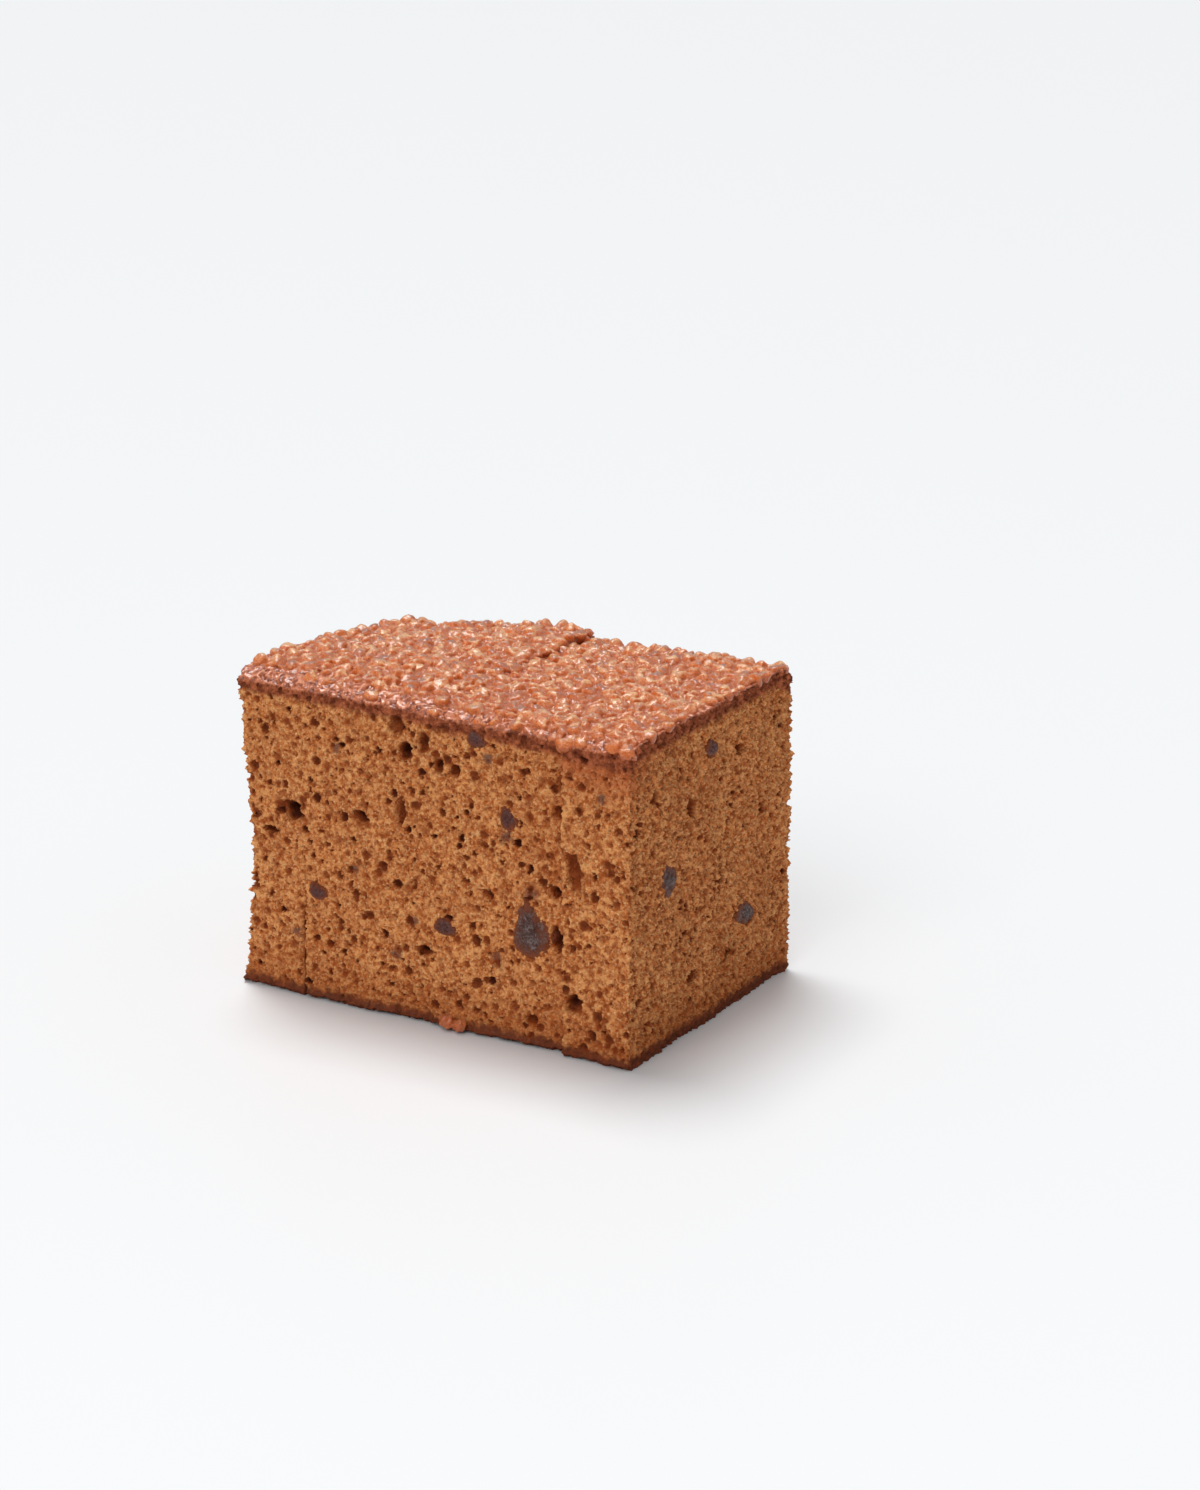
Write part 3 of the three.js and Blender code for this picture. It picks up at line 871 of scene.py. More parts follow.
@dataclass(frozen=True)
class SugarFinish(Finish):
    """Lumps of sugar that browned and half melted in the oven, amber below and pale on top from a painted
    sheen, and darker between them, partly pooled sugar and partly painted shade.
    """

    amber: Colour = srgb(246, 128, 36)
    brown: Colour = srgb(210, 106, 36)
    # the next two colours are a painted sheen on the tops of the lumps
    pale: Colour = srgb(248, 192, 138)
    rosy_sheen: Colour = srgb(224, 142, 92)
    burnt: Colour = srgb(150, 98, 88)
    # partly the darker sugar that pooled between the lumps, partly painted shade and the glow of light
    # through the sugar
    crevice_pool_and_shade: Colour = srgb(190, 92, 34)

    def paint(self, graph: Graph, surface: bpy.types.Node) -> None:
        """Adds the nodes of the finish."""
        bent = graph.shaken(self.place(graph), 0.8, 1.6)
        lumps = graph.node("ShaderNodeSeparateColor", {0: graph.cells(bent, 0.36).outputs["Color"]})
        speck = self.mottle(graph, 2.6, 3, 0.7)
        side = graph.blend(graph.span(speck, 0.4, 0.62), self.brown, self.amber)
        tone = graph.times(lumps.outputs[0], 0.5)
        tone = graph.plus(tone, graph.span(speck, 0.3, 0.7, 0.0, 0.5))
        crown = graph.ramp(tone, [(0.3, self.rosy_sheen), (0.62, self.pale)])
        crown = graph.blend(graph.span(lumps.outputs[1], 0.66, 0.9, 0.0, 0.8), crown, self.burnt)
        clouds = graph.times(self.mottle(graph, 0.16, 2, 0.6, 0.45, 0.65), 0.45)
        crown = graph.blend(clouds, crown, self.burnt)
        grit = graph.times(self.mottle(graph, 5.0, 3, 0.7, 0.54, 0.66), 0.55)
        crown = graph.blend(grit, crown, self.burnt)
        # Faces that look up get the painted sheen, faces that look sideways the amber.
        up = self.mesh_value(graph, "up")
        facing = graph.plus(up, graph.span(speck, 0.3, 0.7, -0.18, 0.18))
        colour = graph.blend(graph.span(facing, 0.55, 0.98), side, crown)
        # Low places between the lumps get the colour of the crevices, partly pooled sugar and partly painted
        # shade.
        rise = self.mesh_value(graph, "rise")
        colour = graph.blend(graph.span(rise, 0.1, 0.7, 0.8, 0.0), colour, self.crevice_pool_and_shade)
        graph.feed(surface.inputs["Base Color"], colour)
        graph.feed(surface.inputs["Roughness"], graph.span(speck, 0.35, 0.65, 0.22, 0.45))
        surface.inputs["Coat Weight"].default_value = 0.7
        surface.inputs["Coat Roughness"].default_value = 0.18
        surface.inputs["Subsurface Weight"].default_value = 0.25
        surface.inputs["Subsurface Radius"].default_value = (1.0, 0.35, 0.12)
        surface.inputs["Subsurface Scale"].default_value = 1.2 * MM
        self.relief(graph, surface, self.mottle(graph, 2.2, 5, 0.7), 0.5)


@dataclass(frozen=True)
class RaisinFinish(Finish):
    """Dark wrinkled raisin skin, greyer where it stands out and brown where the crumb holds it."""

    dark: Colour = srgb(58, 30, 28)
    skin: Colour = srgb(96, 68, 62)
    bloom: Colour = srgb(138, 120, 116)
    rim: Colour = srgb(146, 74, 40)
    small: Colour = srgb(104, 48, 40)

    def paint(self, graph: Graph, surface: bpy.types.Node) -> None:
        """Adds the nodes of the finish."""
        clouds = self.mottle(graph, 0.55, 4, 0.7)
        grain = self.mottle(graph, 2.2, 3, 0.7)
        mottle = graph.plus(graph.times(clouds, 0.65), graph.times(grain, 0.35))
        colour = graph.ramp(mottle, [(0.4, self.dark), (0.5, self.skin), (0.62, self.bloom)])
        colour = graph.blend(self.mesh_value(graph, "small"), colour, self.small)
        facing = graph.plus(self.mesh_value(graph, "facing"), graph.span(clouds, 0.3, 0.7, -0.2, 0.2))
        colour = graph.blend(graph.span(facing, 0.5, 0.95, 1.0, 0.0), colour, self.rim)
        graph.feed(surface.inputs["Base Color"], colour)
        surface.inputs["Roughness"].default_value = 0.45
        surface.inputs["Specular IOR Level"].default_value = 0.3
        height = graph.plus(clouds, graph.times(grain, 0.6))
        self.relief(graph, surface, height, 1.1)


@dataclass(frozen=True)
class FloorFinish(Finish):
    """A plain pale tabletop."""

    tone: Colour = (0.745, 0.76, 0.77)

    def paint(self, graph: Graph, surface: bpy.types.Node) -> None:
        """Sets the tone."""
        graph.feed(surface.inputs["Base Color"], self.tone)
        surface.inputs["Roughness"].default_value = 0.5


# ---------------------------------------------------------------------------------------------
# Parts of the cake.


BROWN_FADE = 1.7  # how far the browning under the crust fades out, as a share of its band
BROWN_DEPTH = 14.0  # how far back it fades out on the right end
STEP_SHADE = 0.8  # how dark the painted shade on the crumb beside the step is
STEP_SHADE_REACH = 1.1
EDGE_HIGHLIGHT = (0.0, 0.35, 0.62)  # how strong the painted highlight along a cut's edge is at the left end, at a cut, and at the step
EDGE_REACH = 1.3


def smooth_side(across: np.ndarray) -> tuple[np.ndarray, np.ndarray, np.ndarray]:
    """Shares of a slice's left cut, middle and right cut in the form at a place across it."""
    reach = np.abs(across - 0.5) * 2
    side = reach ** 3
    return np.where(across < 0.5, side, 0.0), 1 - side, np.where(across >= 0.5, side, 0.0)


class Outline:
    """A slice seen from its end: a round from the front foot over the crust to the back foot."""

    ARC = 12  # points round each edge of the crust
    CRUST = 60  # points between the two
    REACH = 0.4  # how far to each side of a point its direction is measured

    def __init__(self, form: SliceForm) -> None:
        """Lays the outline's points and finds its four corners.

        Args:
            form: The slice's measures.
        """
        self.form = form
        back = DEPTH - form.back
        turns = np.linspace(0, math.pi / 2, self.ARC)
        lip_end = form.front + form.lip
        lip_top = float(form.crust_height(np.array(lip_end)))
        rear_start = back - REAR_LIP
        rear_top = float(form.crust_height(np.array(rear_start)))
        foot = [(form.front + BASE_ROUND, 0.0), (form.front - BASE_FLARE, BASE_CRUST / 2)]
        lip = [(form.front + form.lip * (1 - math.cos(t)), form.foot + (lip_top - form.foot) * math.sin(t))
               for t in turns]
        depths = np.linspace(lip_end, rear_start, self.CRUST)[1:-1]
        crust = list(zip(depths, form.crust_height(depths)))
        rear = [(back - REAR_LIP * (1 - math.cos(t)), rear_top - CRUST_DROP * (1 - math.sin(t)))
                for t in turns[::-1]]
        heel = [(back, BASE_CRUST), (back + BASE_FLARE, BASE_CRUST / 2), (back - BASE_ROUND, 0.0)]
        points = foot + [(form.front, BASE_CRUST)] + lip + crust + rear + heel
        self.points = np.array(points)
        steps = np.linalg.norm(np.diff(self.points, axis=0), axis=1)
        self.lengths = np.concatenate([[0.0], np.cumsum(steps)])
        front_top = len(foot) + 1 + self.ARC // 2
        back_top = front_top + self.ARC + len(crust)
        self.marks = self.lengths[[0, front_top, back_top, len(points) - 1]]

    def at(self, length: np.ndarray) -> np.ndarray:
        """The points at distances along the outline."""
        return np.stack([np.interp(length, self.lengths, self.points[:, k]) for k in (0, 1)], -1)

    def crust_line(self, depth: np.ndarray) -> np.ndarray:
        """Height where the crumb turns into crust, over the depth."""
        behind = smooth_step((depth - self.form.front) / (self.form.lip + LIP_EASE))
        rear = smooth_step((depth - DEPTH + REAR_EASE) / REAR_REACH)
        under = self.form.crust_height(depth) - CRUST_THICK - (CRUST_DROP - CRUST_THICK + REAR_SINK) * rear
        return self.form.foot + (under - self.form.foot) * behind

    def way_out(self, length: np.ndarray) -> np.ndarray:
        """The outward directions at distances along the outline."""
        step = self.at(length + self.REACH) - self.at(length - self.REACH)
        return np.stack([-step[:, 1], step[:, 0]], -1) / np.linalg.norm(step, axis=1)[:, None]

    def front(self, up: np.ndarray) -> np.ndarray:
        """Distances along the outline of a share up its front."""
        return self.marks[0] + (self.marks[1] - self.marks[0]) * up

    def top(self, back: np.ndarray) -> np.ndarray:
        """Distances along the outline of a share back over its top."""
        return self.marks[1] + (self.marks[2] - self.marks[1]) * back

    def rear(self, up: np.ndarray) -> np.ndarray:
        """Distances along the outline of a share up its back."""
        return self.marks[3] + (self.marks[2] - self.marks[3]) * up

    def wrap(self, back: np.ndarray, up: np.ndarray) -> np.ndarray:
        """Points inside the outline, as a square sheet is stretched to its four sides.

        Args:
            back: Share from front to back, 0 to 1.
            up: Share from foot to top, 0 to 1.

        Returns:
            Depth and height of each point.
        """
        a, b = back[:, None], up[:, None]
        corners = self.at(self.marks)
        front_foot, front_top, back_top, back_foot = corners
        floor = front_foot + (back_foot - front_foot) * a
        sheet = (1 - a) * self.at(self.front(up)) + a * self.at(self.rear(up))
        sheet = sheet + (1 - b) * floor + b * self.at(self.top(back))
        flat = (1 - a) * (1 - b) * front_foot + a * (1 - b) * back_foot
        flat = flat + (1 - a) * b * front_top + a * b * back_top
        return sheet - flat


class AirPockets:
    """The cake's wide holes as solid shapes, which the slices are then hollowed by."""

    RAGGED = 0.221  # how uneven a hole's wall is, as a share of its size
    RAGGED_POCKET = 0.06  # the same for a raisin's pocket
    OVERLAP = 0.5  # how far a raisin's pocket stands out of the face
    WAVES = [[3.1, -2.3, 5.2], [4.6, 3.7, -1.9], [-2.2, 6.1, 2.7]]
    FINE = 4

    def __init__(self, block: Block) -> None:
        """Starts with no shapes.

        Args:
            block: Where the cake stands.
        """
        self.block = block
        self.pieces: list[bpy.types.Object] = []

    def add(self, spot: Spot, push_in: float, half: float, ragged: float) -> None:
        """Adds one rounded shape at a spot.

        Args:
            spot: Where it is, and its width and height.
            push_in: How far its middle lies behind the face.
            half: Its reach in depth each way.
            ragged: How uneven its wall is.
        """
        piece, points = new_ball(self.FINE)
        turn = spot.along + spot.height
        if spot.proud:
            points = drop_shaped(points, turn + 1.0, ragged)
        else:
            points = dented(points, self.WAVES, ragged, turn)
        move_points(piece.data, place_on_face(self.block, spot, points, push_in, half, 0.0))
        self.pieces.append(piece)

    def build(self) -> bpy.types.Object:
        """Makes all holes and raisin pockets and joins them.

        Returns:
            The joined shapes.
        """
        for hole in HOLES:
            self.add(hole, 0.0, hole.thick, self.RAGGED)
        for raisin in RAISINS:
            self.add(raisin, raisin.thick / 2 - self.OVERLAP, raisin.thick / 2, self.RAGGED_POCKET)
        return joined(self.pieces)


def drop_shaped(points: np.ndarray, seed: float, ragged: float) -> np.ndarray:
    """Turns a unit ball into a raisin that was cut flat: narrow at its stalk, with an uneven rim.

    Args:
        points: The ball's points, the cut side towards -Y.
        seed: Makes it differ from the others.
        ragged: How uneven the rim is.

    Returns:
        The raisin's points.
    """
    x, y, z = points.T
    slim = 1 - 0.3 * z - 0.1 * z ** 2
    turn = np.arctan2(z, x)
    rim = np.sin(3 * turn + seed) + np.sin(5 * turn + 2.3 * seed) + 0.7 * np.sin(11 * turn + 3.1 * seed)
    wide = 1 + ragged * rim * np.hypot(x, z) ** 2
    flat = np.sign(y) * np.abs(y) ** 0.45
    return np.stack([(x * slim - 0.5 * np.maximum(0, z) ** 2) * wide, flat, z * wide], -1)


def place_on_face(block: Block, spot: Spot, points: np.ndarray, push_in: float, half: float,
                  grow: float) -> np.ndarray:
    """Sizes points of a unit ball, tilts them and lays them at a spot.

    Args:
        block: Where the cake stands.
        spot: The spot.
        points: Points round the origin, about one away from it.
        push_in: How far the middle lies behind the face.
        half: Reach in depth each way.
        grow: How much larger it is all round.

    Returns:
        The points in the frame, in metres.
    """
    seat, turn = block.seat(spot)
    size = np.array([spot.width / 2 + grow, half + grow, spot.tall / 2 + grow])
    tilt = Matrix.Rotation(math.radians(spot.tilt), 3, "Y")
    turned = Matrix.Rotation(turn, 3, "Z")
    laid = (points * size) @ np.array(tilt).T + np.array([0.0, push_in, 0.0])
    return block.place(laid @ np.array(turned).T + seat)


@dataclass
class CakeSlice:
    """One slice, or its front or rear half: crumb with its holes, browned crust and base.

    Attributes:
        block: Where the cake stands.
        index: Which slice it is, from the left.
        near: Share of the depth where the piece starts.
        far: Share of the depth where it ends.
        square: Size of the squares that are then halved twice, across and up.
        long_square: The same from front to back.
        hollow: Nodes that sink the wide holes.
        relief: Nodes that tear the crumb and open its bubbles.
    """

    HALF_SIDES: ClassVar[tuple[int, int]] = (3, 4)  # what mark() calls the sides between two halves

    block: Block
    index: int
    hollow: bpy.types.NodeTree
    relief: bpy.types.NodeTree
    near: float = 0.0
    far: float = 1.0
    square: float = 0.7
    long_square: float = 1.2

    def is_open(self, centres: np.ndarray, normals: np.ndarray) -> np.ndarray:
        """Which faces of the blank stay bare.

        Args:
            centres: The faces' middles.
            normals: The faces' normals.

        Returns:
            True for the faces that a neighbour or the floor hides.
        """
        hidden = normals[:, 2] < -STRAIGHT
        last = len(SLICES) - 1
        for way, axis, shown in ((-1, 0, self.index == 0), (1, 0, self.index == last),
                                 (-1, 1, self.near == 0), (1, 1, self.far == 1)):
            if not shown:
                hidden |= normals[:, axis] * way > STRAIGHT
        if self.index == last:
            hidden &= (normals[:, 0] > -STRAIGHT) | (centres[:, 1] > STEP_SHOWN / DEPTH)
        return hidden

    def blank(self) -> bpy.types.Object:
        """Makes the straight block that the slice is shaped from, cut into squares.

        Returns:
            The blank, whose coordinates are shares of the slice from 0 to 1.
        """
        depth = self.far - self.near
        bpy.ops.object.select_all(action="DESELECT")
        bpy.ops.mesh.primitive_cube_add(size=1.0, location=(0.5, self.near + depth / 2, 0.5),
                                        scale=(1.0, depth, 1.0))
        blank = bpy.context.object
        bpy.ops.object.transform_apply(location=True, scale=True)
        blank.name = f"crumb_{self.index + 1}" + ("" if depth == 1 else "_rear" if self.near else "_front")
        split_edges(blank, 0, round(PITCH / self.square))
        split_edges(blank, 1, round(DEPTH * depth / self.long_square))
        split_edges(blank, 2, round(SLICES[self.index].foot / self.square))
        for side in np.vstack([np.eye(3), -np.eye(3)]):
            centres, normals = faces_of(blank.data)
            merge_faces(blank, self.is_open(centres, normals) & (normals @ side > STRAIGHT))
        return blank

    def outwards(self, shares: np.ndarray, middle: Outline) -> np.ndarray:
        """Which way each point of the crumb faces.

        Args:
            shares: The blank's points.
            middle: The outline at the middle of the slice.

        Returns:
            The directions, and nothing where the slice is bare.
        """
        across, back, up = shares.T
        out = np.zeros_like(shares)
        for flags, lengths in ((back == 0, middle.front(up)), (back == 1, middle.rear(up)),
                               (up == 1, middle.top(back))):
            out[flags, 1:] += middle.way_out(lengths[flags])
        if self.index == 0:
            out[across == 0, 0] = -1.0
        if self.index == len(SLICES) - 1:
            out[across == 1, 0] = 1.0
        size = np.linalg.norm(out, axis=1, keepdims=True)
        return np.divide(out, size, out=np.zeros_like(out), where=size > 0)

    def shape(self, blank: bpy.types.Object) -> None:
        """Wraps the blank on the slice's outline, and notes its tones, painted shade and highlights, and
        which way it faces.

        Args:
            blank: The straight block.
        """
        shares = np.round(points_of(blank.data).astype(float), 5)
        across, back, up = shares.T
        outlines = [Outline(form) for form in eased_forms(self.index)]
        sides = list(zip(smooth_side(across), outlines))
        depth, height = sum(share[:, None] * outline.wrap(back, up) for share, outline in sides).T
        line = sum(share * outline.crust_line(depth) for share, outline in sides)
        band = sum(share * outline.form.band for share, outline in sides)
        tint = (1 - (line - height) / (BROWN_FADE * band)) * np.clip(1 - depth / BROWN_DEPTH, 0, 1)
        left = self.block.left(self.index, depth, height)
        right = self.block.right(self.index, depth, height)
        along = left + (right - left) * across
        depth = depth + self.block.sway(self.index, along, depth, height)
        move_points(blank.data, self.block.place(np.stack([along, depth, height], -1)))
        layer = blank.data.attributes.new("out", "FLOAT_VECTOR", "POINT")
        layer.data.foreach_set("vector", self.outwards(shares, outlines[1]).astype(np.float32).ravel())

        front = depth < DEPTH / 2
        stain = np.zeros_like(along)
        for spot_along, spot_height, reach in STAINS:
            away = np.hypot(along - spot_along, height - spot_height) / reach
            stain = np.maximum(stain, np.exp(-away ** 2) * front)
        # Painted shade on the crumb beside the step, where the last slice stands out in front of it.
        if self.index == STEP_SEAM - 1:
            tint = np.maximum(tint, STEP_SHADE * np.exp(-((along - right) / STEP_SHADE_REACH) ** 2))
        # A painted highlight along each cut's edge.
        bright = EDGE_HIGHLIGHT[min(self.index, 1) + (self.index == STEP_SEAM)]
        edge = bright * np.exp(-((along - left) / EDGE_REACH) ** 2) * front
        keep(blank.data, below=line - height, stain=stain, tint=tint, edge=edge)

    def mark(self, blank: bpy.types.Object) -> None:
        """Gives each hidden side its own number, so that it can be made one face again."""
        centres, normals = faces_of(blank.data)
        number = 1 + np.abs(normals).argmax(1) * 2 + (normals.sum(1) > 0)
        numbers = np.where(self.is_open(centres, normals), number, 0)
        blank.data.polygons.foreach_set("material_index", numbers.astype(np.int32))

    def close(self, piece: bpy.types.Object) -> None:
        """Makes each hidden side one face again, flat where two halves of a slice meet."""

        def sides() -> np.ndarray:
            """The numbers of the faces' sides."""
            return read(piece.data.polygons, "material_index", kind=np.int32)

        for side in np.unique(sides()):
            if side > 0:
                merge_faces(piece, sides() == side, flat=side in self.HALF_SIDES)
        piece.data.polygons.foreach_set("material_index", np.zeros(len(piece.data.polygons), np.int32))

    def build(self) -> bpy.types.Object:
        """Makes the piece.

        Returns:
            The finished piece.
        """
        piece = self.blank()
        self.mark(piece)
        self.shape(piece)
        finer = piece.modifiers.new("finer", "SUBSURF")
        finer.subdivision_type = "SIMPLE"
        finer.levels = finer.render_levels = 2
        for name, nodes in (("hollow", self.hollow), ("crumb", self.relief)):
            piece.modifiers.new(name, "NODES").node_group = nodes
        apply_modifiers(piece)
        bpy.ops.object.shade_smooth()
        self.close(piece)
        return piece


def geometry_tree(name: str) -> tuple[Graph, Socket, bpy.types.Node]:
    """Starts a tree of geometry nodes.

    Args:
        name: The tree's name.

    Returns:
        The graph, the incoming mesh and the output node.
    """
    tree = bpy.data.node_groups.new(name, "GeometryNodeTree")
    tree.interface.new_socket("Mesh", in_out="INPUT", socket_type="NodeSocketGeometry")
    tree.interface.new_socket("Mesh", in_out="OUTPUT", socket_type="NodeSocketGeometry")
    graph = Graph(tree)
    return graph, graph.node("NodeGroupInput").outputs[0], graph.node("NodeGroupOutput")


def store(graph: Graph, mesh: Socket, name: str, value: Value) -> Socket:
    """Keeps a number on each point of a mesh."""
    inputs = {"Geometry": mesh, "Name": name, "Value": value}
    return graph.node("GeometryNodeStoreNamedAttribute", inputs, data_type="FLOAT", domain="POINT").outputs[0]


def kept(graph: Graph, name: str, kind: str = "FLOAT") -> Socket:
    """Reads a value kept on each point of a mesh."""
    node = graph.node("GeometryNodeInputNamedAttribute", {"Name": name}, data_type=kind)
    return next(s for s in node.outputs if s.name == "Attribute" and s.enabled)


DEEPEST_HOLE = 8.0  # how far behind a face its holes are looked for


def hollow_nodes(air: bpy.types.Object) -> bpy.types.NodeTree:
    """Nodes that push the points of a face inwards to the far wall of each hole they lie in.

    Args:
        air: The holes as solid shapes.

    Returns:
        The node tree.
    """
    graph, mesh, output = geometry_tree("hollow")
    shapes = graph.node("GeometryNodeObjectInfo", {"Object": air}).outputs["Geometry"]
    inwards = graph.scaled(kept(graph, "out", "FLOAT_VECTOR"), -1.0)
    place = graph.node("GeometryNodeInputPosition").outputs[0]
    inputs = {"Target Geometry": shapes, "Source Position": place, "Ray Direction": inwards}
    ray = graph.node("GeometryNodeRaycast", {**inputs, "Ray Length": DEEPEST_HOLE * MM})
    facing = graph.vector("DOT_PRODUCT", ray.outputs["Hit Normal"], inwards).outputs["Value"]
    inside = graph.times(ray.outputs["Is Hit"], graph.math("GREATER_THAN", facing, 0.0))
    depth = graph.times(inside, ray.outputs["Hit Distance"])
    mesh = store(graph, mesh, "hollow", depth)
    inputs = {"Geometry": mesh, "Offset": graph.scaled(inwards, depth)}
    graph.feed(output.inputs[0], graph.node("GeometryNodeSetPosition", inputs).outputs[0])
    return graph.tree


@dataclass(frozen=True)
class Bubbles:
    """Air bubbles of one size in the crumb.

    Attributes:
        cell: Distance between neighbours.
        radius: Radius of the largest.
        least: The smallest's share of that.
        share: How many of the places hold one.
        depth: How deep they look, as a share of a ball's depth.
        seed: Where the pattern starts.
    """

    cell: float
    radius: float
    least: float
    share: float
    depth: float
    seed: float

    def sink(self, graph: Graph, place: Socket, out: Socket) -> Socket:
        """How far a bubble that is cut open reaches in behind each point.

        Args:
            graph: The graph.
            place: The point in millimetres.
            out: The outward direction.

        Returns:
            The depth in millimetres, and 0 outside the bubbles.
        """
        start = Vector((self.seed, -1.7 * self.seed, 0.6 * self.seed))
        spot = graph.vector("ADD", place, start).outputs[0]
        cells = graph.cells(spot, 1 / self.cell)
        draw = cells.outputs["Color"]
        size = graph.span(graph.part(draw, 0), 0.0, 1.0, self.least * self.radius, self.radius)
        size = graph.times(size, graph.math("LESS_THAN", graph.part(draw, 1), self.share))
        middle = graph.vector("SUBTRACT", cells.outputs["Position"], spot).outputs[0]
        away = graph.vector("LENGTH", middle).outputs["Value"]
        sunk = graph.times(graph.vector("DOT_PRODUCT", middle, out).outputs["Value"], -1.0)
        beside = graph.minus(graph.math("POWER", away, 2.0), graph.math("POWER", sunk, 2.0))
        reach = graph.minus(graph.math("POWER", size, 2.0), beside)
        reach = graph.math("SQRT", graph.most(reach, 0.0))
        open_here = graph.math("LESS_THAN", away, size)
        depth = graph.times(graph.plus(sunk, reach), self.depth)
        return graph.times(open_here, depth)


BUBBLES = (
    Bubbles(cell=3.2, radius=1.3, least=0.55, share=0.9, depth=0.55, seed=11.0),
    Bubbles(cell=2.1, radius=0.9, least=0.5, share=0.9, depth=0.65, seed=37.0),
    Bubbles(cell=1.4, radius=0.55, least=0.5, share=0.75, depth=0.65, seed=53.0),
    Bubbles(cell=0.9, radius=0.36, least=0.5, share=0.5, depth=0.8, seed=71.0),
)
COMB_CELL = 1.25  # distance between the small dimples
DARK_BUBBLE = 1.1  # depth at which a bubble's painted shade is as dark as it gets
DARK_HOLLOW = 2.6  # the same for the wide holes
TOP_FACING = (0.25, 0.6)  # how far up a place faces where it starts and ends to count as the top
CRUST_FADE = (2.4, 1.0)  # how far below the crust's edge the crumb starts and ends to turn brown
BASE_FADE = (3.3, 1.6)  # heights between which the crumb turns into the base's crust
CALM_TOP = 0.9  # how much of the crumb's relief the top crust loses
CALM_BASE = 0.55  # the same for the base
DIMPLE_DEPTH = 0.5


def crumb_nodes() -> bpy.types.NodeTree:
    """Nodes that give a slice its torn crumb, its open bubbles and its crusts.

    Returns:
        The node tree.
    """
    graph, mesh, output = geometry_tree("crumb")
    place = graph.scaled(graph.node("GeometryNodeInputPosition").outputs[0], 1 / MM)
    out = kept(graph, "out", "FLOAT_VECTOR")

    def uneven(scale: float, size: float, detail: float = 3, rough: float = 0.5) -> Socket:
        """A slow or fine unevenness, as high and as low as half its size."""
        fac = graph.noise(place, scale, detail, rough).outputs["Fac"]
        return graph.times(graph.minus(fac, 0.5), size)

    top = graph.span(graph.part(out, 2), *TOP_FACING)
    below = graph.plus(kept(graph, "below"), uneven(0.45, 3.2, 4, 0.65))
    crust = graph.span(below, *CRUST_FADE, smooth=True)
    crust = graph.most(crust, top)
    above = graph.plus(graph.part(place, 2), uneven(0.5, 4.4, 4, 0.7))
    base = graph.span(above, *BASE_FADE, smooth=True)
    glazed = graph.most(top, base)
    calm = graph.most(graph.times(top, CALM_TOP), graph.times(base, CALM_BASE))
    soft = graph.minus(1.0, calm)

    bent = graph.shaken(place, 0.9, 1.1, 3, 0.6)
    deepest: Value = 0.0
    for bubbles in BUBBLES:
        deepest = graph.most(deepest, bubbles.sink(graph, bent, out))
    deepest = graph.times(deepest, soft)

    comb = graph.cells(bent, 1 / COMB_CELL)
    chance = graph.span(graph.part(comb.outputs["Color"], 0), 0.0, 0.6)
    dimple = graph.times(graph.span(comb.outputs["Distance"], 0.5, 0.12), chance)
    dimple = graph.times(dimple, soft)
    rough = graph.plus(uneven(0.36, 1.3), uneven(1.1, 2.1, 4, 0.65))
    aside = graph.math("ABSOLUTE", graph.part(out, 0))
    rough = graph.times(rough, graph.times(soft, graph.span(aside, 0.0, 0.7, 1.0, 1.5)))
    rough = graph.minus(rough, graph.times(dimple, DIMPLE_DEPTH))
    folds = graph.math("ABSOLUTE", uneven(0.4, 2.6, 2))
    wrinkled = graph.times(graph.minus(uneven(0.8, 0.8, 3), folds), glazed)
    shift = graph.times(graph.minus(graph.plus(rough, wrinkled), deepest), MM)

    # How dark the painted shade in the bubbles and wide holes is, kept for the finish.
    hollow = graph.over(kept(graph, "hollow"), DARK_HOLLOW * MM)
    pore = graph.most(graph.over(deepest, DARK_BUBBLE), hollow)
    values = {"crust": crust, "base": base, "top": top, "pore": graph.least(pore, 1.0)}
    for name, value in {**values, "dimple": dimple}.items():
        mesh = store(graph, mesh, name, value)
    moved = graph.node("GeometryNodeSetPosition", {"Geometry": mesh, "Offset": graph.scaled(out, shift)})
    graph.feed(output.inputs[0], moved.outputs[0])
    return graph.tree


